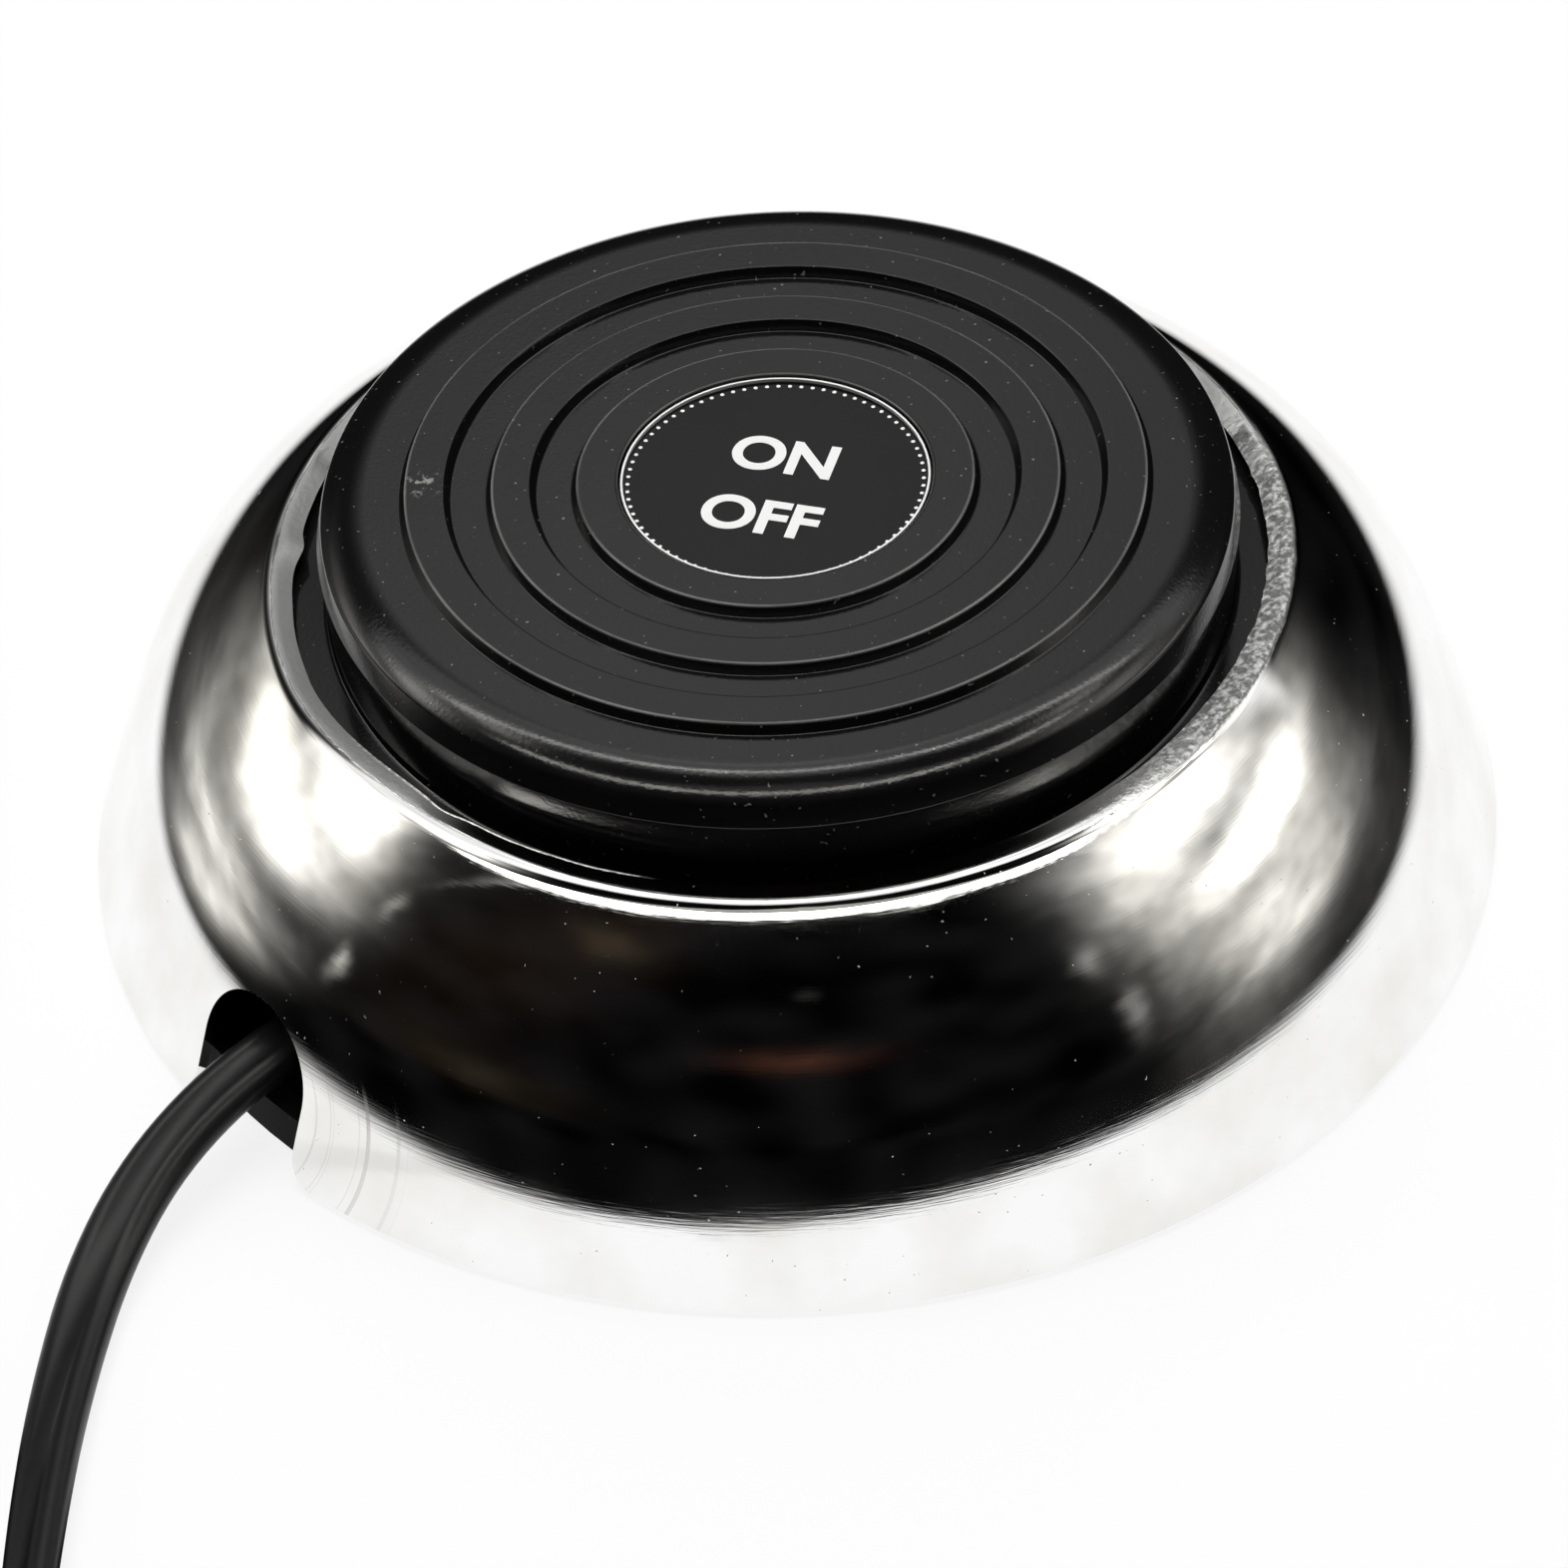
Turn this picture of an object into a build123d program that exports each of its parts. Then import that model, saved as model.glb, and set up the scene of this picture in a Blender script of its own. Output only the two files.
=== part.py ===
from build123d import *
import os
from math import acos, atan2, cos, degrees, radians, sin, tan

# Foot switch on a flat two-core cord: a chromed dome with a round black pedal.
# Millimetres, +Z up. The origin is on the floor under the dome's axis, and the
# cord leaves along -X. Heights called "level" are measured from the floor.

# Chromed dome, spun from sheet
SHELL_RADIUS = 58.4
SHELL_WALL = 1.0
SKIRT_TILT = 18.4
SKIRT_HEIGHT = 12.2
SHOULDER_RADIUS = 28.4
CREST_RADIUS = 1.6
LIP_DROP = 24.0
LIP_WIDTH = 1.05
OPENING_RADIUS = 39.9
NOTCH_WIDTH = 12.8
NOTCH_HEIGHT = 12.7
NOTCH_FLARE = 2.5

# Brackets welded inside the dome, and the screws that hold the base to them
LUG_COUNT = 4
LUG_ANGLE = 45.0
LUG_SPAN = 14.0
LUG_WALL = 1.2
LUG_LEG = 6.0
LUG_TAB = 10.6
LUG_SCREW_INSET = 6.4
WELD_GAP = 0.05
SCREW_PLAY = 0.05

# Moulded base with an upstanding rim
BASE_FLOOR = 2.0
BASE_RIM_HEIGHT = 4.0
BASE_RIM_WALL = 2.0
BASE_FIT = 0.1
BOSS_RADIUS = 4.2
BOSS_TOP = 4.4
BASE_SCREW_RADIUS = 1.7
BASE_SCREW_HEAD = 3.1
BASE_SCREW_HEAD_HEIGHT = 1.4
BASE_SCREW_SINK = 1.6
BASE_SCREW_TIP = 1.5
HOLE_PLAY = 0.3
SLOT_WIDTH = 0.8
SLOT_DEPTH = 0.7

# Rubber feet let into the base
FOOT_COUNT = 4
FOOT_RADIUS = 6.0
FOOT_RECESS = 1.0
FOOT_PROUD = 0.6
FOOT_INSET = 12.0
FOOT_PLAY = 0.2

# Pedal: a moulded cap with raised rings and a retaining flange
PEDAL_HEIGHT = 36.65
PEDAL_GAP = 2.45
PEDAL_WALL = 2.2
PEDAL_EDGE = 3.3
RING_STEP = 0.7
RING_DRAFT = 0.5
RING_INSET = 7.45
RING_WIDTH = 3.15
GROOVE_WIDTH = 3.85
FLANGE_REACH = 2.5
FLANGE_WALL = 1.8
FLANGE_PLAY = 0.35
PEDAL_TRAVEL = 4.0
RIB_COUNT = 8
RIB_WALL = 1.6
RIB_DEPTH = 3.0
RIB_START = 13.0
LABEL_RADIUS = 12.65
LABEL_WALL = 0.3
LABEL_RECESS = 0.8
LABEL_PLAY = 0.1

# Push-push switch on the base
SWITCH_RADIUS = 15.0
SWITCH_HEIGHT = 7.0
CAVITY_RADIUS = 12.5
CAVITY_DEPTH = 4.0
EAR_PLAY = 0.1
EAR_HALF = 4.5
EAR_WALL = 4.0
SMALL_SCREW_RADIUS = 1.45
SMALL_SCREW_HEAD = 2.7
SMALL_SCREW_HEAD_HEIGHT = 1.7
SCREW_BITE = 1.4
COVER_WALL = 1.0
COVER_FIT = 0.2
NECK_RADIUS = 6.0
NECK_HEIGHT = 3.4
STEM_SIDE = 5.0
STEM_PLAY = 0.2
HEAD_RADIUS = 4.5
HEAD_HEIGHT = 4.0
HEAD_PLAY = 0.05
SEAT_GAP = 0.5
PUSH_BOSS_RADIUS = 8.6
RUN_GAP = 0.3

# Ratchet: four teeth on the rotor mesh with four on the plunger's crown
TOOTH_COUNT = 4
TOOTH_SPAN = 40.0
TOOTH_HEIGHT = 1.5
TOOTH_INNER = 5.2
ROTOR_RADIUS = 10.5
ROTOR_WALL = 2.0
CROWN_RADIUS = 9.5
CROWN_WALL = 1.6
PIVOT_RADIUS = 1.5
PIVOT_PLAY = 0.08
PIVOT_DEPTH = 2.0

# Contacts and terminals
STRIP_WALL = 0.6
STRIP_WIDTH = 6.0
STRIP_PLAY = 0.3
BRIDGE_WALL = 0.5
BRIDGE_HALF = 9.5
BUTTON_RADIUS = 1.5
BUTTON_HEIGHT = 0.2
BUTTON_PLACE = 8.0
CONTACT_GAP = 0.3
TERMINAL_PLACE = 20.5
TERMINAL_LEDGE = 4.5
TERMINAL_HALF = 5.0
TERMINAL_HEAD = 3.2

# Springs
RETURN_SPRING_RADIUS = 10.2
RETURN_SPRING_WIRE = 1.4
RETURN_SPRING_TURNS = 5
SWITCH_SPRING_RADIUS = 3.5
SWITCH_SPRING_WIRE = 0.5
SWITCH_SPRING_TURNS = 2
SPRING_PLAY = 0.05

# Two-core cord, its clamp and its cores
CORD_WIDTH = 5.3
CORD_THICKNESS = 2.7
CORNER_SHARE = 0.45
PAD_HEIGHT = 3.8
PAD_LENGTH = 10.0
PAD_HALF = 11.0
PAD_INSET = 12.0
CLAMP_WALL = 1.2
CLAMP_LENGTH = 8.0
CLAMP_HALF = 10.5
CLAMP_SCREW_PLACE = 7.2
CLAMP_ROUND = 0.8
CORD_SEAT = 0.05
CORE_RADIUS = 1.2
COPPER_RADIUS = 0.55
COPPER_PAST_SCREW = 2.5
CORE_STRAIGHT = 6.0
CORE_SPREAD = 12.0
CORE_SPREAD_RUN = 8.0
CORE_END_RUN = 7.0

# Coil of spare cord, held by a tie
COIL_PLACE = (-45.6, -89.5)
COIL_RADIUS = 31.0
COIL_HALF = 7.5
COIL_HEIGHT = 10.9
COIL_ROUND = 2.5
TIE_WALL = 0.8
TIE_WIDTH = 5.0
TIE_PLAY = 0.3
TIE_ANGLE = 40.0

# Piggyback plug: two flat blades in front, two slots behind
PLUG_LENGTH = 30.0
PLUG_DEPTH = 22.0
PLUG_THICKNESS = 18.0
PLUG_ROUND = 3.0
NOSE_LENGTH = 20.0
NOSE_WIDTH = 7.0
NOSE_HEIGHT = 8.6
BLADE_SPACING = 12.7
BLADE_WIDTH = 6.35
BLADE_WALL = 1.5
BLADE_LENGTH = 17.0
BLADE_HOLE = 1.6
BLADE_HOLE_INSET = 4.2
BLADE_PLAY = 0.05
SOCKET_SLOT_WALL = 2.0
SOCKET_SLOT_WIDTH = 7.4
SOCKET_DEPTH = 16.0
SOCKET_LIP = 2.0
LEAF_WALL = 0.5
LEAF_GAP = 1.4
LEAF_WIDTH = 6.0
LEAF_PLAY = 0.3

# Cut-throughs overshoot the faces they cut by this much
OVERCUT = 1.0

# Levels and radii that follow from the sizes above
shell_level = FOOT_PROUD
skirt_angle = radians(SKIRT_TILT)
skirt_top = (SHELL_RADIUS - SKIRT_HEIGHT * tan(skirt_angle), shell_level + SKIRT_HEIGHT)
shoulder_centre = (
    skirt_top[0] - SHOULDER_RADIUS * cos(skirt_angle),
    skirt_top[1] - SHOULDER_RADIUS * sin(skirt_angle),
)
lip_angle = radians(LIP_DROP)
crest_place = OPENING_RADIUS + LIP_WIDTH + CREST_RADIUS * sin(lip_angle)
shoulder_end = acos((crest_place - shoulder_centre[0]) / (SHOULDER_RADIUS - CREST_RADIUS))
crest_centre = (
    crest_place,
    shoulder_centre[1] + (SHOULDER_RADIUS - CREST_RADIUS) * sin(shoulder_end),
)
rim_edge_level = crest_centre[1] + CREST_RADIUS * cos(lip_angle) - LIP_WIDTH * tan(lip_angle)
lip_under_level = rim_edge_level - SHELL_WALL * cos(lip_angle)

floor_level = shell_level + BASE_FLOOR
rim_top_level = shell_level + BASE_RIM_HEIGHT
boss_level = shell_level + BOSS_TOP
base_radius = SHELL_RADIUS - SHELL_WALL / cos(skirt_angle) - BASE_RIM_HEIGHT * tan(skirt_angle) - BASE_FIT

pedal_top = shell_level + PEDAL_HEIGHT
pedal_radius = OPENING_RADIUS - PEDAL_GAP
flange_top = lip_under_level - FLANGE_PLAY
flange_radius = OPENING_RADIUS + FLANGE_REACH
pedal_under = pedal_top - RING_STEP - PEDAL_WALL

switch_top = floor_level + SWITCH_HEIGHT
contact_level = switch_top - CAVITY_DEPTH
strip_level = contact_level + STRIP_WALL
bridge_level = strip_level + 2 * BUTTON_HEIGHT + CONTACT_GAP
rotor_level = bridge_level + BRIDGE_WALL
rotor_top = rotor_level + ROTOR_WALL
crown_level = rotor_top + PEDAL_TRAVEL + RUN_GAP + TOOTH_HEIGHT
crown_top = crown_level + CROWN_WALL
ear_level = floor_level + EAR_WALL
cover_under = crown_top + RUN_GAP
cover_top = cover_under + COVER_WALL
neck_top = cover_top + NECK_HEIGHT
head_level = neck_top + PEDAL_TRAVEL + RUN_GAP
head_top = head_level + HEAD_HEIGHT
cover_radius = SWITCH_RADIUS + COVER_FIT + COVER_WALL
ear_reach = cover_radius + SMALL_SCREW_HEAD + EAR_PLAY

pad_place = base_radius - BASE_RIM_WALL - PAD_INSET
pad_level = floor_level + PAD_HEIGHT
cord_level = pad_level + CORD_SEAT + CORD_THICKNESS / 2
cord_start = -(pad_place - PAD_LENGTH / 2 - CORD_THICKNESS)
core_level = strip_level + COPPER_RADIUS + CORD_SEAT
terminal_level = core_level + COPPER_RADIUS + CORD_SEAT
coil_level = TIE_WALL + TIE_PLAY
plug_level = PLUG_THICKNESS / 2

# The cord's route, chosen by hand: out of the notch, down to the floor, to the coil
notch_x = -SHELL_RADIUS
coil_centre = Pos(notch_x + COIL_PLACE[0], COIL_PLACE[1], 0)
LEAD_POINTS = [
    (cord_start, 0, cord_level),
    (cord_start - 8.6, 0, cord_level),
    (notch_x + 6.8, -0.06, cord_level),
    (notch_x - 1.6, -0.3, 6.7),
    (notch_x - 9.9, -1.8, 4.2),
    (notch_x - 17.8, -5.9, 2.1),
    (notch_x - 25.8, -12.8, 1.58),
    (notch_x - 34.1, -21.2, 1.6),
    (notch_x - 44.1, -32.6, 1.6),
    (notch_x - 58.8, -50.0, 1.75),
    (notch_x - 73.9, -65.7, 2.75),
]
TAIL_POINTS = [
    (notch_x - 48.8, -126.4, 9.2),
    (notch_x - 39.6, -127.4, 8.6),
    (notch_x - 30.2, -127.5, plug_level),
    (notch_x - 20.8, -128.0, plug_level),
]


def rod(radius, low, high, x=0.0, y=0.0):
    """Upright cylinder between two levels."""
    return Pos(x, y, (low + high) / 2) * Cylinder(radius, high - low)


def block(x_span, y_span, z_span):
    """Box between the limits given on each axis."""
    spans = (x_span, y_span, z_span)
    middle = [(low + high) / 2 for low, high in spans]
    return Pos(*middle) * Box(*[high - low for low, high in spans])


def turned(outline, arc=360.0):
    """Solid turned about Z from a closed outline of radius and level."""
    return revolve(Plane.XZ * make_face(outline.edges()), Axis.Z, arc)


def ring_sector(inner, outer, low, high, span):
    """Sector of a ring, centred on +X."""
    points = [(inner, low), (outer, low), (outer, high), (inner, high)]
    return Rot(0, 0, -span / 2) * turned(Polyline(*points, close=True), span)


def spread(piece, count, start=0.0):
    """Copies of a piece, evenly turned about Z."""
    return [Rot(0, 0, start + index * 360.0 / count) * piece for index in range(count)]


def screw(radius, tip, seat, head_radius, head_height, facing=1):
    """Slotted screw on the Z axis; facing is 1 with its head up and -1 with it down."""
    low, high = sorted((seat, seat + facing * head_height))
    head = rod(head_radius, low, high)
    slot_low, slot_high = (high - SLOT_DEPTH, high) if facing > 0 else (low, low + SLOT_DEPTH)
    head -= block((-head_radius, head_radius), (-SLOT_WIDTH / 2, SLOT_WIDTH / 2), (slot_low, slot_high))
    return head + rod(radius, *sorted((tip, seat)))


def coil_spring(radius, wire, turns, low, high):
    """Helical spring whose wire stands between two levels."""
    rise = high - low - wire
    path = Helix(rise / turns, rise, radius)
    section = Plane(origin=path @ 0, z_dir=path % 0) * Circle(wire / 2)
    return Pos(0, 0, low + wire / 2) * sweep(section, path, is_frenet=True)


def skirt_inner_radius(level):
    """Inner radius of the dome's conical skirt at a level."""
    return SHELL_RADIUS - SHELL_WALL / cos(skirt_angle) - (level - shell_level) * tan(skirt_angle)


def shell_wall_line(inset):
    """Dome's section from the floor edge to the lip, moved inwards by the inset."""
    foot = (SHELL_RADIUS - inset / cos(skirt_angle), shell_level)
    top = (skirt_top[0] - inset * cos(skirt_angle), skirt_top[1] - inset * sin(skirt_angle))
    shoulder_turn = degrees(shoulder_end) - SKIRT_TILT
    crest_turn = 90 + LIP_DROP - degrees(shoulder_end)
    shoulder = CenterArc(shoulder_centre, SHOULDER_RADIUS - inset, SKIRT_TILT, shoulder_turn)
    crest = CenterArc(crest_centre, CREST_RADIUS - inset, degrees(shoulder_end), crest_turn)
    lip = (OPENING_RADIUS + inset * sin(lip_angle), rim_edge_level - inset * cos(lip_angle))
    return Line(foot, top) + shoulder + crest + Line(crest @ 1, lip), foot, lip


def notch_cutter():
    """Arch through which the cord leaves, with its lower corners flared."""
    half = NOTCH_WIDTH / 2
    foot = half + NOTCH_FLARE
    flare_level = shell_level + NOTCH_FLARE
    arch_level = shell_level + NOTCH_HEIGHT - half
    below = shell_level - OVERCUT
    outline = Polyline((half, flare_level), (half, arch_level))
    outline += CenterArc((0, arch_level), half, 0, 180)
    outline += Polyline((-half, arch_level), (-half, flare_level))
    outline += CenterArc((-foot, flare_level), NOTCH_FLARE, -90, 90)
    outline += Polyline((-foot, shell_level), (-foot, below), (foot, below), (foot, shell_level))
    outline += CenterArc((foot, flare_level), NOTCH_FLARE, 180, 90)
    return extrude(Plane.YZ * make_face(outline.edges()), -SHELL_RADIUS - OVERCUT)


def chrome_shell():
    """Dome with the pedal's opening on top and the cord's notch at its foot."""
    outer, outer_foot, outer_lip = shell_wall_line(0.0)
    inner, inner_foot, inner_lip = shell_wall_line(SHELL_WALL)
    return turned(outer + inner + Line(outer_foot, inner_foot) + Line(outer_lip, inner_lip)) - notch_cutter()


def lug_screw_place():
    """Radius at which the base screws stand."""
    return skirt_inner_radius(boss_level) - LUG_SCREW_INSET


def shell_lugs():
    """Bent brackets welded to the inside of the skirt."""
    low, bend, high = boss_level, boss_level + LUG_WALL, boss_level + LUG_LEG
    leg = LUG_WALL / cos(skirt_angle)
    tab = skirt_inner_radius(low) - LUG_TAB
    points = [
        (tab, low),
        (skirt_inner_radius(low) - WELD_GAP, low),
        (skirt_inner_radius(high) - WELD_GAP, high),
        (skirt_inner_radius(high) - WELD_GAP - leg, high),
        (skirt_inner_radius(bend) - WELD_GAP - leg, bend),
        (tab, bend),
    ]
    lug = Rot(0, 0, -LUG_SPAN / 2) * turned(Polyline(*points, close=True), LUG_SPAN)
    lug -= rod(BASE_SCREW_RADIUS + SCREW_PLAY, low - OVERCUT, bend + OVERCUT, lug_screw_place())
    return spread(lug, LUG_COUNT, LUG_ANGLE)


def base_plate():
    """Round tray that closes the dome, with bosses for screws and a pad for the cord."""
    inner = base_radius - BASE_RIM_WALL
    points = [
        (0, shell_level),
        (base_radius, shell_level),
        (base_radius, rim_top_level),
        (inner, rim_top_level),
        (inner, floor_level),
        (0, floor_level),
    ]
    plate = turned(Polyline(*points, close=True))
    place = lug_screw_place()
    sink = rod(BASE_SCREW_HEAD + HOLE_PLAY, shell_level - OVERCUT, shell_level + BASE_SCREW_SINK, place)
    hole = rod(BASE_SCREW_RADIUS + HOLE_PLAY, shell_level, boss_level + OVERCUT, place)
    plate += spread(rod(BOSS_RADIUS, floor_level, boss_level, place), LUG_COUNT, LUG_ANGLE)
    plate -= spread(sink + hole, LUG_COUNT, LUG_ANGLE)
    foot = rod(FOOT_RADIUS + FOOT_PLAY, shell_level - OVERCUT, shell_level + FOOT_RECESS, foot_place())
    plate -= spread(foot, FOOT_COUNT)
    pad_span = (-pad_place - PAD_LENGTH / 2, -pad_place + PAD_LENGTH / 2)
    plate += block(pad_span, (-PAD_HALF, PAD_HALF), (floor_level, pad_level))
    thread = SMALL_SCREW_RADIUS + SCREW_PLAY
    for side in (-1, 1):
        plate -= rod(thread, clamp_tip(), pad_level + OVERCUT, -pad_place, side * CLAMP_SCREW_PLACE)
        plate -= rod(thread, switch_screw_tip(), floor_level + OVERCUT, side * ear_reach)
    return plate


def foot_place():
    """Radius at which the rubber feet stand."""
    return SHELL_RADIUS - FOOT_INSET


def clamp_tip():
    """Level of the clamp screws' tips, in the pad."""
    return pad_level - 2 * SCREW_BITE


def switch_screw_tip():
    """Level of the switch screws' tips, in the base's floor."""
    return floor_level - SCREW_BITE


def base_screws():
    """Screws from below, through the base into the lugs."""
    seat = shell_level + BASE_SCREW_SINK
    tip = boss_level + LUG_WALL + BASE_SCREW_TIP
    piece = screw(BASE_SCREW_RADIUS, tip, seat, BASE_SCREW_HEAD, BASE_SCREW_HEAD_HEIGHT, facing=-1)
    return spread(Pos(lug_screw_place(), 0, 0) * piece, LUG_COUNT, LUG_ANGLE)


def rubber_feet():
    """Round feet glued into the base's recesses."""
    foot = rod(FOOT_RADIUS, 0, shell_level + FOOT_RECESS, foot_place())
    return spread(foot, FOOT_COUNT)


def pedal_rings():
    """Outline of the pedal's top, from the axis to the outer groove."""
    edge = pedal_radius - RING_INSET
    low = pedal_top - RING_STEP
    recess = LABEL_RADIUS + LABEL_PLAY
    points = [(0, pedal_top - LABEL_RECESS), (recess, pedal_top - LABEL_RECESS), (recess, pedal_top)]
    middle = edge - RING_WIDTH - GROOVE_WIDTH
    centre = middle - RING_WIDTH - GROOVE_WIDTH
    for raised_in, raised_out in ((None, centre), (middle - RING_WIDTH, middle), (edge - RING_WIDTH, edge)):
        if raised_in is not None:
            points += [(raised_in - RING_DRAFT, low), (raised_in, pedal_top)]
        points += [(raised_out, pedal_top), (raised_out + RING_DRAFT, low)]
    return points + [(pedal_radius - PEDAL_EDGE, low)]


def foot_pedal():
    """Cap that the foot presses, with ribs and a push boss underneath."""
    low = pedal_top - RING_STEP - PEDAL_EDGE
    flange_under = flange_top - FLANGE_WALL
    inner = pedal_radius - PEDAL_WALL
    boss_under = head_level + SEAT_GAP
    socket = HEAD_RADIUS + HEAD_PLAY
    outline = Polyline(*pedal_rings())
    outline += CenterArc((pedal_radius - PEDAL_EDGE, low), PEDAL_EDGE, 0, 90)
    outline += Polyline(
        (pedal_radius, low),
        (pedal_radius, flange_top),
        (flange_radius, flange_top),
        (flange_radius, flange_under),
        (inner, flange_under),
        (inner, pedal_under),
        (PUSH_BOSS_RADIUS, pedal_under),
        (PUSH_BOSS_RADIUS, boss_under),
        (socket, boss_under),
        (socket, head_top),
        (0, head_top),
        (0, pedal_top - LABEL_RECESS),
    )
    rib_span = (RIB_START, inner + PEDAL_WALL / 2)
    rib = block(rib_span, (-RIB_WALL / 2, RIB_WALL / 2), (pedal_under - RIB_DEPTH, pedal_under))
    return turned(outline) + spread(rib, RIB_COUNT)


def pedal_label():
    """Printed disc let into the middle of the pedal."""
    seat = pedal_top - LABEL_RECESS
    return rod(LABEL_RADIUS, seat, seat + LABEL_WALL)


def ear_pair(low, high, inner):
    """Two rounded mounting ears along X, reaching in to the given radius."""
    ears = []
    for side in (-1, 1):
        span = sorted((side * inner, side * ear_reach))
        ears.append(block(span, (-EAR_HALF, EAR_HALF), (low, high)) + rod(EAR_HALF, low, high, side * ear_reach))
    return ears


def switch_base():
    """Moulded switch block with the contact cavity, mounting ears and terminal ledges."""
    body = rod(SWITCH_RADIUS, floor_level, switch_top)
    body += ear_pair(floor_level, ear_level, 0)
    slot = STRIP_WIDTH / 2 + STRIP_PLAY
    ledge_end = TERMINAL_PLACE + TERMINAL_LEDGE
    body += block((-TERMINAL_HALF, TERMINAL_HALF), (-ledge_end, ledge_end), (floor_level, contact_level))
    body -= rod(CAVITY_RADIUS, contact_level, switch_top + OVERCUT)
    body -= block((-slot, slot), (-SWITCH_RADIUS, SWITCH_RADIUS), (contact_level, switch_top + OVERCUT))
    body -= rod(PIVOT_RADIUS + PIVOT_PLAY, contact_level - PIVOT_DEPTH, contact_level + OVERCUT)
    thread = SMALL_SCREW_RADIUS + SCREW_PLAY
    for side in (-1, 1):
        body -= rod(thread, floor_level - OVERCUT, ear_level + OVERCUT, side * ear_reach)
        body -= rod(thread, terminal_tip(), contact_level + OVERCUT, 0, side * TERMINAL_PLACE)
    return body


def terminal_tip():
    """Level of the terminal screws' tips, in the switch block."""
    return contact_level - SCREW_BITE


def switch_cover():
    """Pressed cup over the switch, with a squared neck that keeps the plunger from turning."""
    inner = SWITCH_RADIUS + COVER_FIT
    cover = rod(cover_radius, ear_level, cover_top) + ear_pair(ear_level, ear_level + COVER_WALL, inner)
    cover += rod(NECK_RADIUS, cover_top, neck_top)
    cover -= rod(inner, ear_level - OVERCUT, cover_under)
    hole = STEM_SIDE / 2 + STEM_PLAY
    cover -= block((-hole, hole), (-hole, hole), (cover_under - OVERCUT, neck_top + OVERCUT))
    window = TERMINAL_HALF + STRIP_PLAY
    window_top = switch_top + STRIP_PLAY
    cover -= block((-window, window), (-2 * inner, 2 * inner), (ear_level - OVERCUT, window_top))
    for side in (-1, 1):
        hole_span = (ear_level - OVERCUT, ear_level + COVER_WALL + OVERCUT)
        cover -= rod(SMALL_SCREW_RADIUS + HOLE_PLAY, *hole_span, side * ear_reach)
    return cover


def switch_plunger():
    """Square stem with a round head in the pedal's boss and a toothed crown below."""
    half = STEM_SIDE / 2
    plunger = block((-half, half), (-half, half), (crown_top, head_level))
    plunger += rod(HEAD_RADIUS, head_level, head_top)
    plunger += rod(CROWN_RADIUS, crown_level, crown_top)
    tooth = ring_sector(TOOTH_INNER, CROWN_RADIUS, crown_level - TOOTH_HEIGHT, crown_level, TOOTH_SPAN)
    return plunger + spread(tooth, TOOTH_COUNT, 180.0 / TOOTH_COUNT)


def ratchet_rotor():
    """Rotor that the plunger steps round, on a pivot in the switch block."""
    rotor = rod(ROTOR_RADIUS, rotor_level, rotor_top)
    rotor += rod(PIVOT_RADIUS, contact_level - PIVOT_DEPTH + RUN_GAP, rotor_level)
    tooth = ring_sector(TOOTH_INNER, CROWN_RADIUS, rotor_top, rotor_top + TOOTH_HEIGHT, TOOTH_SPAN)
    return rotor + spread(tooth, TOOTH_COUNT)


def contact_bridge():
    """Brass strip under the rotor that joins the two fixed contacts."""
    half = STRIP_WIDTH / 2
    bridge = block((-half, half), (-BRIDGE_HALF, BRIDGE_HALF), (bridge_level, rotor_level))
    bridge -= rod(PIVOT_RADIUS + SCREW_PLAY, bridge_level - OVERCUT, rotor_level + OVERCUT)
    for side in (-1, 1):
        bridge += rod(BUTTON_RADIUS, bridge_level - BUTTON_HEIGHT, bridge_level, 0, side * BUTTON_PLACE)
    return bridge


def fixed_contact(side):
    """Brass strip from the contact button out to the terminal screw; side is 1 or -1."""
    half = STRIP_WIDTH / 2
    span = sorted((side * (BUTTON_PLACE - BUTTON_RADIUS), side * (TERMINAL_PLACE + TERMINAL_HEAD)))
    strip = block((-half, half), span, (contact_level, strip_level))
    strip += rod(BUTTON_RADIUS, strip_level, strip_level + BUTTON_HEIGHT, 0, side * BUTTON_PLACE)
    hole = rod(SMALL_SCREW_RADIUS + HOLE_PLAY, contact_level - OVERCUT, strip_level + OVERCUT)
    return strip - Pos(0, side * TERMINAL_PLACE, 0) * hole


def terminal_screws():
    """Screws that clamp the copper ends on the contact strips."""
    piece = screw(SMALL_SCREW_RADIUS, terminal_tip(), terminal_level, TERMINAL_HEAD, SMALL_SCREW_HEAD_HEIGHT)
    return [Pos(0, side * TERMINAL_PLACE, 0) * piece for side in (-1, 1)]


def switch_screws():
    """Screws through the ears of cover and block into the base."""
    seat = ear_level + COVER_WALL
    piece = screw(SMALL_SCREW_RADIUS, switch_screw_tip(), seat, SMALL_SCREW_HEAD, SMALL_SCREW_HEAD_HEIGHT)
    return [Pos(side * ear_reach, 0, 0) * piece for side in (-1, 1)]


def return_spring():
    """Spring between the switch cover and the pedal."""
    low, high = cover_top + SPRING_PLAY, pedal_under - SPRING_PLAY
    return coil_spring(RETURN_SPRING_RADIUS, RETURN_SPRING_WIRE, RETURN_SPRING_TURNS, low, high)


def switch_spring():
    """Small spring between the rotor and the plunger's crown."""
    low, high = rotor_top + SPRING_PLAY, crown_level - SPRING_PLAY
    return coil_spring(SWITCH_SPRING_RADIUS, SWITCH_SPRING_WIRE, SWITCH_SPRING_TURNS, low, high)


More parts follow.
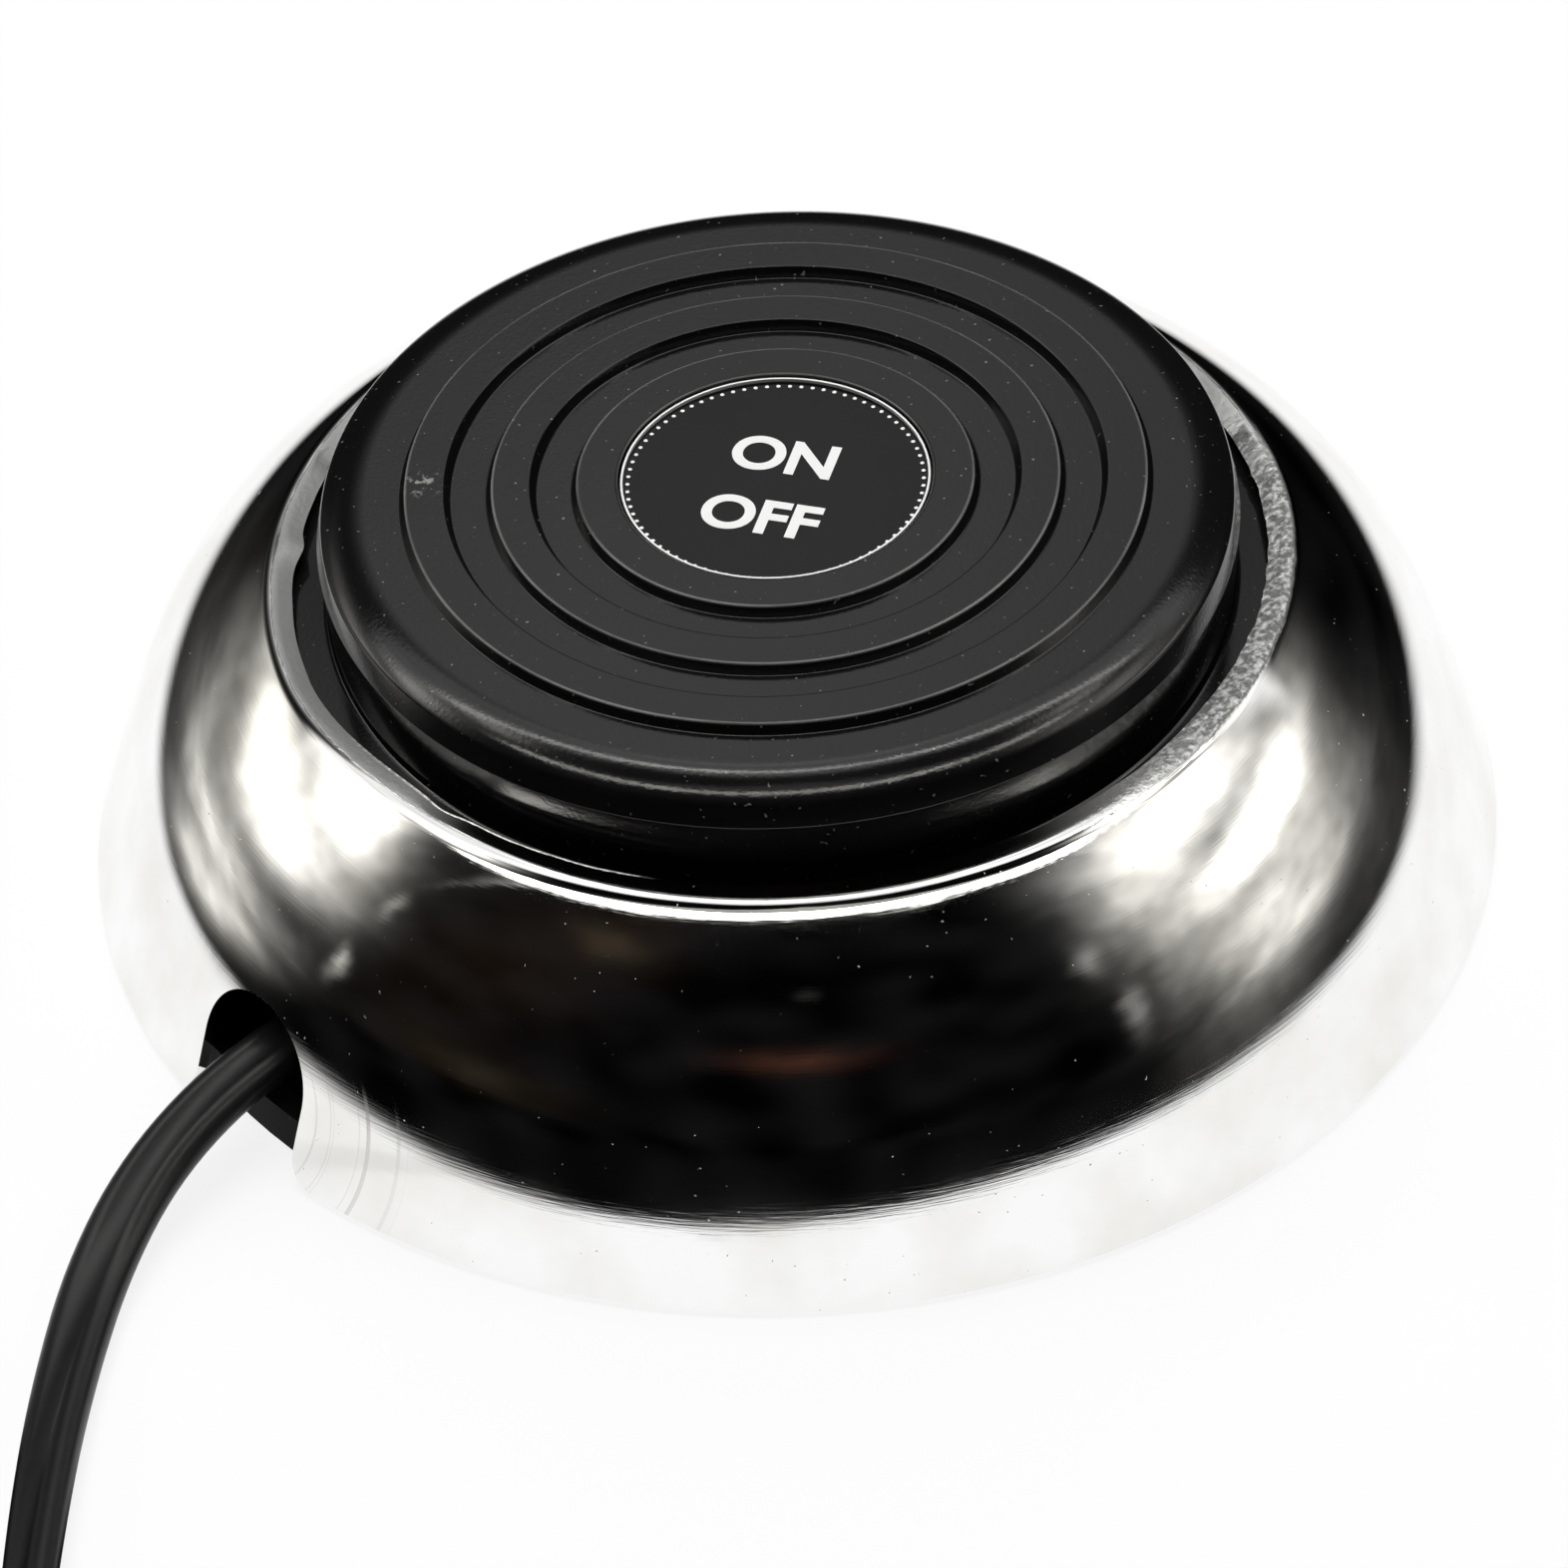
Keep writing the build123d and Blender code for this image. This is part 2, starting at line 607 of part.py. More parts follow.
def cord_clamp():
    """Bent strap over the cord."""
    inside = CORD_WIDTH / 2 + HOLE_PLAY
    outside = inside + CLAMP_WALL
    under = pad_level + CORD_THICKNESS + 2 * CORD_SEAT
    foot, top = pad_level + CLAMP_WALL, under + CLAMP_WALL
    half = [(CLAMP_HALF, pad_level), (CLAMP_HALF, foot), (outside, foot), (outside, top)]
    under_half = [(-inside, pad_level), (-inside, under)]
    points = half + [(-x, z) for x, z in reversed(half)]
    points += under_half + [(-x, z) for x, z in reversed(under_half)]
    face = make_face(Polyline(*points, close=True).edges())
    face = fillet(face.vertices().sort_by(Axis.Y)[-2:], CLAMP_ROUND)
    strap = Pos(-pad_place - CLAMP_LENGTH / 2, 0, 0) * extrude(Plane.YZ * face, CLAMP_LENGTH)
    for side in (-1, 1):
        hole_span = (pad_level - OVERCUT, foot + OVERCUT)
        strap -= rod(SMALL_SCREW_RADIUS + HOLE_PLAY, *hole_span, -pad_place, side * CLAMP_SCREW_PLACE)
    return strap


def clamp_screws():
    """Screws that hold the cord clamp on its pad."""
    seat = pad_level + CLAMP_WALL
    piece = screw(SMALL_SCREW_RADIUS, clamp_tip(), seat, SMALL_SCREW_HEAD, SMALL_SCREW_HEAD_HEIGHT)
    return [Pos(-pad_place, side * CLAMP_SCREW_PLACE, 0) * piece for side in (-1, 1)]


def rounded_path(name, points):
    """Straight runs joined by arcs as large as the runs allow; prints their radii."""
    radii = []
    for first, second, third in zip(points, points[1:], points[2:]):
        before, after = Vector(second) - Vector(first), Vector(third) - Vector(second)
        half_turn = radians(before.get_angle(after)) / 2
        radii.append(CORNER_SHARE * min(before.length, after.length) / tan(half_turn))
    print(name, "bend radii", [round(radius, 1) for radius in radii])
    return FilletPolyline(*points, radius=radii)


def swept(name, path, section):
    """Section carried along a path; prints its volume beside area times length."""
    solid = sweep(section, path)
    print(name, "length", round(path.length, 1), "volume", round(solid.volume, 1),
          "section x length", round(section.area * path.length, 1))
    return solid


def core(name, side):
    """One core of the cord, from the jacket's end to its terminal; side is 1 or -1."""
    beside = TERMINAL_PLACE - SMALL_SCREW_RADIUS - COPPER_RADIUS - CORD_SEAT
    end = -TERMINAL_HALF - STRIP_PLAY
    between = (cord_level + core_level) / 2
    points = [
        (cord_start, side * CORD_WIDTH / 4, cord_level),
        (cord_start + CORE_STRAIGHT, side * CORD_WIDTH / 4, cord_level),
        (cord_start + CORE_STRAIGHT + CORE_SPREAD_RUN, side * CORE_SPREAD, between),
        (end - CORE_END_RUN, side * beside, core_level),
        (end, side * (beside + CORD_SEAT), core_level),
    ]
    path = rounded_path(name, points)
    insulation = swept(name, path, Plane(origin=path @ 0, z_dir=path % 0) * Circle(CORE_RADIUS))
    copper = extrude(Plane(origin=path @ 1, z_dir=(1, 0, 0)) * Circle(COPPER_RADIUS), COPPER_PAST_SCREW - end)
    return insulation + copper


def cord_lead():
    """Flat cord from its clamp through the notch and along the floor to the coil."""
    path = rounded_path("cord_lead", LEAD_POINTS)
    section = Plane(origin=path @ 0, x_dir=(0, 1, 0), z_dir=path % 0) * SlotOverall(CORD_WIDTH, CORD_THICKNESS)
    return swept("cord_lead", path, section)


def cord_tail():
    """Flat cord, on edge, from the coil to the plug."""
    path = rounded_path("cord_tail", TAIL_POINTS)
    side = Vector(0, 0, 1).cross(path % 0)
    section = Plane(origin=path @ 0, x_dir=side, z_dir=path % 0) * SlotOverall(CORD_WIDTH, CORD_THICKNESS, 90)
    return swept("cord_tail", path, section)


def cord_coil():
    """Outer shape of the coiled cord."""
    section = RectangleRounded(2 * COIL_HALF, COIL_HEIGHT, COIL_ROUND)
    ring = revolve(Plane.XZ * (Pos(COIL_RADIUS, coil_level + COIL_HEIGHT / 2) * section), Axis.Z)
    return coil_centre * ring


def coil_tie():
    """Strap round the coil's turns."""
    inside = (2 * (COIL_HALF + TIE_PLAY), COIL_HEIGHT + 2 * TIE_PLAY)
    outside = [length + 2 * TIE_WALL for length in inside]
    band = RectangleRounded(*outside, COIL_ROUND + TIE_WALL) - RectangleRounded(*inside, COIL_ROUND)
    middle = Pos(COIL_RADIUS, coil_level + COIL_HEIGHT / 2)
    tie = Pos(0, TIE_WIDTH / 2, 0) * extrude(Plane.XZ * (middle * band), TIE_WIDTH)
    return coil_centre * Rot(0, 0, TIE_ANGLE) * tie


def plug_place():
    """Location of the plug: its nose at the cord's end, its length along the last run."""
    (start_x, start_y, _), end = TAIL_POINTS[-2:]
    heading = degrees(atan2(end[1] - start_y, end[0] - start_x))
    return Pos(*end) * Rot(0, 0, heading)


def blade_places():
    """Places of the two blades along the plug's length."""
    middle = NOSE_LENGTH + PLUG_LENGTH / 2
    return (middle - BLADE_SPACING / 2, middle + BLADE_SPACING / 2)


def plug_body():
    """Moulded plug with a tapered nose, two rear slots and contact chambers."""
    front, back = PLUG_DEPTH / 2, -PLUG_DEPTH / 2
    case = extrude(RectangleRounded(PLUG_LENGTH, PLUG_DEPTH, PLUG_ROUND), PLUG_THICKNESS)
    body = Pos(NOSE_LENGTH + PLUG_LENGTH / 2, 0, -plug_level) * case
    nose_tip = Plane.YZ * RectangleRounded(NOSE_WIDTH, NOSE_HEIGHT, NOSE_WIDTH / 3)
    nose_root_sides = (PLUG_DEPTH - 2 * PLUG_ROUND, PLUG_THICKNESS - 2 * PLUG_ROUND)
    nose_root = Plane.YZ.offset(NOSE_LENGTH) * RectangleRounded(*nose_root_sides, NOSE_WIDTH / 3)
    body += loft([nose_tip, nose_root])
    chamber_half = LEAF_GAP + LEAF_WALL + LEAF_PLAY
    chamber_side = LEAF_WIDTH / 2 + LEAF_PLAY
    slot_half, slot_side = SOCKET_SLOT_WALL / 2, SOCKET_SLOT_WIDTH / 2
    blade_half, blade_side = BLADE_WALL / 2 + BLADE_PLAY, BLADE_WIDTH / 2 + BLADE_PLAY
    inner = back + SOCKET_DEPTH
    for place in blade_places():
        cuts = (
            (slot_half, slot_side, (back - OVERCUT, back + SOCKET_LIP + OVERCUT)),
            (chamber_half, chamber_side, (back + SOCKET_LIP, inner)),
            (blade_half, blade_side, (inner - OVERCUT, front + OVERCUT)),
        )
        for half, side, depth in cuts:
            body -= block((place - half, place + half), depth, (-side, side))
    return plug_place() * body


def plug_contact(place):
    """Blade with the two leaves that grip the next plug's blade behind it."""
    front, back = PLUG_DEPTH / 2, -PLUG_DEPTH / 2
    inner = back + SOCKET_DEPTH - BLADE_PLAY
    tip = front + BLADE_LENGTH
    half, side = BLADE_WALL / 2, BLADE_WIDTH / 2
    contact = block((place - half, place + half), (inner - LEAF_WALL, tip), (-side, side))
    contact -= Pos(place, tip - BLADE_HOLE_INSET, 0) * (Rot(0, 90, 0) * Cylinder(BLADE_HOLE, 2 * BLADE_WIDTH))
    outer = LEAF_GAP + LEAF_WALL
    leaf_side = LEAF_WIDTH / 2
    contact += block((place - outer, place + outer), (inner - LEAF_WALL, inner), (-leaf_side, leaf_side))
    leaf_depth = (back + SOCKET_LIP + LEAF_PLAY, inner)
    for low, high in ((-outer, -LEAF_GAP), (LEAF_GAP, outer)):
        contact += block((place + low, place + high), leaf_depth, (-leaf_side, leaf_side))
    return plug_place() * contact


def write(name, shape):
    """One STEP file for a node; a list of shapes becomes a group of solids."""
    solids = [solid for piece in (shape if isinstance(shape, list) else [shape]) for solid in piece.solids()]
    export_step(solids[0] if len(solids) == 1 else Compound(children=solids), f"parts/{name}.step")


def main():
    """Builds every node and writes it."""
    os.makedirs("parts", exist_ok=True)
    left_place, right_place = blade_places()
    nodes = {
        "chrome_shell": chrome_shell(),
        "shell_lugs": shell_lugs(),
        "base_plate": base_plate(),
        "base_screws": base_screws(),
        "rubber_feet": rubber_feet(),
        "foot_pedal": foot_pedal(),
        "pedal_label": pedal_label(),
        "return_spring": return_spring(),
        "switch_base": switch_base(),
        "switch_cover": switch_cover(),
        "switch_plunger": switch_plunger(),
        "ratchet_rotor": ratchet_rotor(),
        "contact_bridge": contact_bridge(),
        "fixed_contact_left": fixed_contact(-1),
        "fixed_contact_right": fixed_contact(1),
        "terminal_screws": terminal_screws(),
        "switch_screws": switch_screws(),
        "switch_spring": switch_spring(),
        "cord_clamp": cord_clamp(),
        "clamp_screws": clamp_screws(),
        "core_left": core("core_left", -1),
        "core_right": core("core_right", 1),
        "cord_lead": cord_lead(),
        "cord_coil": cord_coil(),
        "coil_tie": coil_tie(),
        "cord_tail": cord_tail(),
        "plug_body": plug_body(),
        "plug_contact_left": plug_contact(left_place),
        "plug_contact_right": plug_contact(right_place),
    }
    for name, shape in nodes.items():
        write(name, shape)


main()
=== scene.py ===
"""Foot switch: a chromed dome round a ringed pedal, on a flat two-core cord.

Everything is in metres in the part's own frame: the floor is z = 0, the dome stands on
the Z axis and the cord leaves through a notch on -X.
"""

from __future__ import annotations

import logging
import math
from dataclasses import dataclass, field
from enum import Enum
from typing import Any, Callable, Iterable, Sequence

import bmesh
import bpy
from mathutils import Matrix, Vector, noise

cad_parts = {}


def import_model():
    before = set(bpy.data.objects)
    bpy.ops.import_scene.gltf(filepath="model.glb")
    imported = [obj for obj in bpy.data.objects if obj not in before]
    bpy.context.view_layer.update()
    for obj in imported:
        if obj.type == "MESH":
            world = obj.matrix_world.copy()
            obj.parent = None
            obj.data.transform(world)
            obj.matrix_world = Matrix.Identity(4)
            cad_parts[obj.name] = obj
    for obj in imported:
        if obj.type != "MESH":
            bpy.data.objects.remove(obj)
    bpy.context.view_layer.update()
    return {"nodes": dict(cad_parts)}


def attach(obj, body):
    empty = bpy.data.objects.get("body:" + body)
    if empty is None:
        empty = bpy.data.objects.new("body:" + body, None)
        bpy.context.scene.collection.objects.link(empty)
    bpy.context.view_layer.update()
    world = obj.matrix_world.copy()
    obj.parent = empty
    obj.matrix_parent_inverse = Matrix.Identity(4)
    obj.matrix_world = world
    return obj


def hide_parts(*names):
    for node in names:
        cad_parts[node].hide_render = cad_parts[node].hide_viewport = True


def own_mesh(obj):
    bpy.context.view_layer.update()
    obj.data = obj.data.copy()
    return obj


MM = 0.001
LOG = logging.getLogger("foot_switch")
Point = tuple[float, float, float]
Flat = tuple[float, float]


class Body(Enum):
    """Bodies that the pieces made here ride on."""

    BASE = "base"
    PEDAL = "pedal"


class Slot(Enum):
    """Slots of the record meant for the pieces made here."""

    CHROME = "chrome"
    STEEL = "steel"
    PEDAL = "black_plastic"
    LABEL = "label"
    CORD = "cord"


def linear(hex_colour: str) -> tuple[float, float, float, float]:
    """Turns an sRGB hex colour to linear RGBA.

    Args:
        hex_colour: Six hex digits after a hash.

    Returns:
        Linear red, green, blue and an alpha of 1.
    """
    parts = [int(hex_colour[i:i + 2], 16) / 255 for i in (1, 3, 5)]
    tones = [c / 12.92 if c <= 0.04045 else ((c + 0.055) / 1.055) ** 2.4 for c in parts]
    return (tones[0], tones[1], tones[2], 1.0)


def per_metre(size_mm: float) -> float:
    """Texture scale that gives features of about the size in millimetres."""
    return 1.0 / (size_mm * MM)


def add_node(
    tree: bpy.types.NodeTree, kind: str, links: dict[Any, Any] | None = None, **settings: Any
) -> bpy.types.Node:
    """Adds a node with its settings, socket values and links.

    Args:
        tree: Node tree that gets the node.
        kind: Type name of the node.
        links: Input name or index to a value or to the socket that feeds it.
        **settings: Attributes of the node.

    Returns:
        The new node.
    """
    node = tree.nodes.new(kind)
    for name, value in settings.items():
        setattr(node, name, value)
    for key, value in (links or {}).items():
        if isinstance(value, bpy.types.NodeSocket):
            tree.links.new(value, node.inputs[key])
        else:
            node.inputs[key].default_value = value
    return node


def eased(value: float) -> float:
    """Soft step from 0 to 1 over the range 0 to 1."""
    value = min(max(value, 0.0), 1.0)
    return value * value * (3 - 2 * value)


def wrapped(degrees: float) -> float:
    """The same direction, from -180 to 180 degrees."""
    return (degrees + 180) % 360 - 180


@dataclass(frozen=True)
class Finish:
    """Base of the finishes: one principled shader that a subclass adds patterns to.

    Args:
        name: Material and process.
        colour: sRGB hex colour.
        roughness: Roughness before patterns.
        metallic: 1 for a bare metal.
        ior: Index of refraction, left at the default on a metal.
        specular: Share of the mirrored light, 0.5 being the usual one.
        grain_mm: Size of the fine unevenness, drawn several times coarser than real so that it shows.
    """

    name: str
    colour: str
    roughness: float
    metallic: float = 0.0
    ior: float = 1.5
    specular: float = 0.5
    grain_mm: float = 0.9

    def material(self) -> bpy.types.Material:
        """Returns the material, made once and then reused."""
        made = bpy.data.materials.get(self.name)
        if made:
            return made
        made = bpy.data.materials.new(self.name)
        made.use_nodes = True
        tree = made.node_tree
        tree.nodes.clear()
        shader = add_node(
            tree,
            "ShaderNodeBsdfPrincipled",
            {"Base Color": linear(self.colour), "Roughness": self.roughness, "Metallic": self.metallic,
             "IOR": self.ior, "Specular IOR Level": self.specular},
        )
        add_node(tree, "ShaderNodeOutputMaterial", {"Surface": shader.outputs["BSDF"]})
        self.dress(tree, shader)
        return made

    def place(self, tree: bpy.types.NodeTree) -> bpy.types.NodeSocket:
        """Returns the socket of the piece's own coordinates, in metres."""
        return add_node(tree, "ShaderNodeTexCoord").outputs["Object"]

    def dress(self, tree: bpy.types.NodeTree, shader: bpy.types.Node) -> None:
        """Adds the finish's patterns; the plain finish has a fine unevenness only.

        Args:
            tree: The material's tree.
            shader: Its principled shader.
        """
        grain = add_node(
            tree,
            "ShaderNodeTexNoise",
            {"Vector": self.place(tree), "Scale": per_metre(self.grain_mm), "Detail": 3.0},
        )
        rough = add_node(
            tree,
            "ShaderNodeMapRange",
            {"Value": grain.outputs["Fac"], "To Min": self.roughness * 0.8, "To Max": self.roughness * 1.2},
        )
        bump = add_node(
            tree,
            "ShaderNodeBump",
            {"Height": grain.outputs["Fac"], "Strength": 0.15, "Distance": 0.05 * MM},
        )
        tree.links.new(rough.outputs["Result"], shader.inputs["Roughness"])
        tree.links.new(bump.outputs["Normal"], shader.inputs["Normal"])


def along_wall(
    tree: bpy.types.NodeTree, place: bpy.types.NodeSocket, around: float, across: float
) -> bpy.types.NodeSocket:
    """Coordinates for marks that run round a turned wall, without a seam.

    Args:
        tree: The material's tree.
        place: Socket of the piece's own coordinates.
        around: Marks per radian.
        across: Marks per metre up the wall.

    Returns:
        Socket of the coordinates.
    """
    flat = add_node(tree, "ShaderNodeVectorMath", {0: place, 1: (1.0, 1.0, 0.0)}, operation="MULTIPLY")
    reach = add_node(tree, "ShaderNodeVectorMath", {0: flat.outputs[0]}, operation="LENGTH")
    turn = add_node(tree, "ShaderNodeVectorMath", {0: flat.outputs[0]}, operation="NORMALIZE")
    turn = add_node(tree, "ShaderNodeVectorMath", {0: turn.outputs[0], "Scale": around}, operation="SCALE")
    height = add_node(tree, "ShaderNodeSeparateXYZ", {0: place})
    climb = add_node(
        tree, "ShaderNodeMath", {0: height.outputs["Z"], 1: reach.outputs["Value"]}, operation="SUBTRACT"
    )
    climb = add_node(tree, "ShaderNodeMath", {0: climb.outputs[0], 1: across}, operation="MULTIPLY")
    climb = add_node(tree, "ShaderNodeCombineXYZ", {"Z": climb.outputs[0]})
    return add_node(tree, "ShaderNodeVectorMath", {0: turn.outputs[0], 1: climb.outputs[0]}).outputs[0]


@dataclass(frozen=True)
class ChromePlate(Finish):
    """Spun steel sheet, buffed and chromed: a mirror with fine marks round it and a raw, partly sandy rim."""

    hazy_colour: str = "#eeede9"
    scored_colour: str = "#b4b3ae"
    raw_colour: str = "#9a9b99"
    raw_roughness: float = 0.45
    raw_metallic: float = 0.5
    sandy_colour: str = "#dededc"
    pitted_colour: str = "#7c7d7b"
    haze_mm: float = 11.0
    # Real buffing marks, sand and dust are several times finer; these are as coarse as they need to show.
    buffing_mm: float = 0.28
    buffing_per_radian: float = 11.0
    sand_mm: float = 0.6
    dust_mm: float = 0.42
    notch_place: Point = (-58.0 * MM, 0.0, 6.0 * MM)
    arc_mm: float = 0.75
    arcs_reach: Flat = (19.0 * MM, 14.0 * MM)
    arcs_side: Flat = (-6.0 * MM, -9.0 * MM)
    arcs_top: Flat = (13.0 * MM, 10.0 * MM)

    def notch_marks(self, tree: bpy.types.NodeTree, place: bpy.types.NodeSocket) -> bpy.types.NodeSocket:
        """Arcs that a buffing wheel left round the notch.

        Args:
            tree: The material's tree.
            place: Socket of the piece's own coordinates.

        Returns:
            Socket of the marks' strength.
        """
        away = add_node(tree, "ShaderNodeVectorMath", {0: place, 1: self.notch_place}, operation="DISTANCE")
        line = add_node(tree, "ShaderNodeCombineXYZ", {"X": away.outputs["Value"]})
        arcs = add_node(
            tree,
            "ShaderNodeTexNoise",
            {"Vector": line.outputs[0], "Scale": per_metre(self.arc_mm), "Detail": 3.0},
        )
        thin = add_node(
            tree,
            "ShaderNodeMapRange",
            {"Value": arcs.outputs["Fac"], "From Min": 0.56, "From Max": 0.62, "To Max": 0.42},
        )
        parts = add_node(tree, "ShaderNodeSeparateXYZ", {0: place})
        fades = (
            (away.outputs["Value"], self.arcs_reach),
            (parts.outputs["Y"], self.arcs_side),
            (parts.outputs["Z"], self.arcs_top),
        )
        strength = thin.outputs[0]
        for value, (gone, full) in fades:
            fade = add_node(tree, "ShaderNodeMapRange", {"Value": value, "From Min": gone, "From Max": full})
            strength = add_node(
                tree, "ShaderNodeMath", {0: strength, 1: fade.outputs[0]}, operation="MULTIPLY"
            ).outputs[0]
        return strength

    def dress(self, tree: bpy.types.NodeTree, shader: bpy.types.Node) -> None:
        """Adds buffing marks, haze, dust and the raw rim.

        Args:
            tree: The material's tree.
            shader: Its principled shader.
        """
        place = self.place(tree)
        raw = add_node(tree, "ShaderNodeAttribute", attribute_name="raw").outputs["Fac"]
        sandy = add_node(tree, "ShaderNodeAttribute", attribute_name="sand").outputs["Fac"]
        buffed = add_node(
            tree, "ShaderNodeTexNoise",
            {"Vector": along_wall(tree, place, self.buffing_per_radian, per_metre(self.buffing_mm)),
             "Scale": 1.0, "Detail": 3.0},
        )
        haze, sand, specks = (
            add_node(tree, "ShaderNodeTexNoise", {"Vector": place, "Scale": per_metre(mm), "Detail": detail})
            for mm, detail in ((self.haze_mm, 3.0), (self.sand_mm, 4.0), (self.dust_mm, 1.0))
        )
        grit = add_node(
            tree, "ShaderNodeMapRange", {"Value": sand.outputs["Fac"], "From Min": 0.44, "From Max": 0.66}
        )
        sandy_tone = add_node(
            tree, "ShaderNodeMix",
            {"Factor": grit.outputs[0], 6: linear(self.pitted_colour), 7: linear(self.sandy_colour)},
            data_type="RGBA",
        )
        toned = add_node(
            tree, "ShaderNodeMapRange", {"Value": haze.outputs["Fac"], "From Min": 0.35, "From Max": 0.65}
        )
        plated = add_node(
            tree, "ShaderNodeMix",
            {"Factor": toned.outputs[0], 6: linear(self.colour), 7: linear(self.hazy_colour)},
            data_type="RGBA",
        )
        speck = add_node(
            tree, "ShaderNodeMapRange",
            {"Value": specks.outputs["Fac"], "From Min": 0.78, "From Max": 0.83, "To Max": 0.35},
        )
        bared = add_node(tree, "ShaderNodeMath", {0: raw, 1: sandy}, operation="MAXIMUM")
        matte = add_node(
            tree, "ShaderNodeMath", {0: bared.outputs[0], 1: speck.outputs[0]}, operation="MAXIMUM"
        ).outputs[0]
        soft = add_node(
            tree, "ShaderNodeMapRange",
            {"Value": haze.outputs["Fac"], "From Min": 0.3, "From Max": 0.7, "To Min": self.roughness * 0.6,
             "To Max": self.roughness * 1.5},
        )
        arcs = self.notch_marks(tree, place)
        rough = add_node(
            tree, "ShaderNodeMath", {0: arcs, 1: 0.22, 2: soft.outputs[0]}, operation="MULTIPLY_ADD"
        )
        rough = add_node(
            tree, "ShaderNodeMix", {"Factor": matte, "A": rough.outputs[0], "B": self.raw_roughness}
        )
        metal = add_node(tree, "ShaderNodeMix", {"Factor": matte, "A": self.metallic, "B": self.raw_metallic})
        scored = add_node(
            tree, "ShaderNodeMix", {"Factor": arcs, 6: plated.outputs[2], 7: linear(self.scored_colour)},
            data_type="RGBA",
        )
        bare = add_node(
            tree, "ShaderNodeMix", {"Factor": sandy, 6: linear(self.raw_colour), 7: sandy_tone.outputs[2]},
            data_type="RGBA",
        )
        colour = add_node(
            tree, "ShaderNodeMix", {"Factor": matte, 6: scored.outputs[2], 7: bare.outputs[2]},
            data_type="RGBA",
        )
        rub = add_node(tree, "ShaderNodeMath", {0: sandy, 1: 0.8, 2: 0.2}, operation="MULTIPLY_ADD")
        rub = add_node(tree, "ShaderNodeMath", {0: rub.outputs[0], 1: matte}, operation="MULTIPLY")
        grain = add_node(
            tree, "ShaderNodeMath", {0: sand.outputs["Fac"], 1: rub.outputs[0]}, operation="MULTIPLY"
        )
        marks = add_node(
            tree, "ShaderNodeBump", {"Height": buffed.outputs["Fac"], "Strength": 0.07, "Distance": 0.03 * MM}
        )
        bump = add_node(
            tree, "ShaderNodeBump",
            {"Height": grain.outputs[0], "Strength": 0.9, "Distance": 0.35 * MM,
             "Normal": marks.outputs["Normal"]},
        )
        tree.links.new(colour.outputs[2], shader.inputs["Base Color"])
        tree.links.new(metal.outputs[0], shader.inputs["Metallic"])
        tree.links.new(rough.outputs[0], shader.inputs["Roughness"])
        tree.links.new(bump.outputs["Normal"], shader.inputs["Normal"])


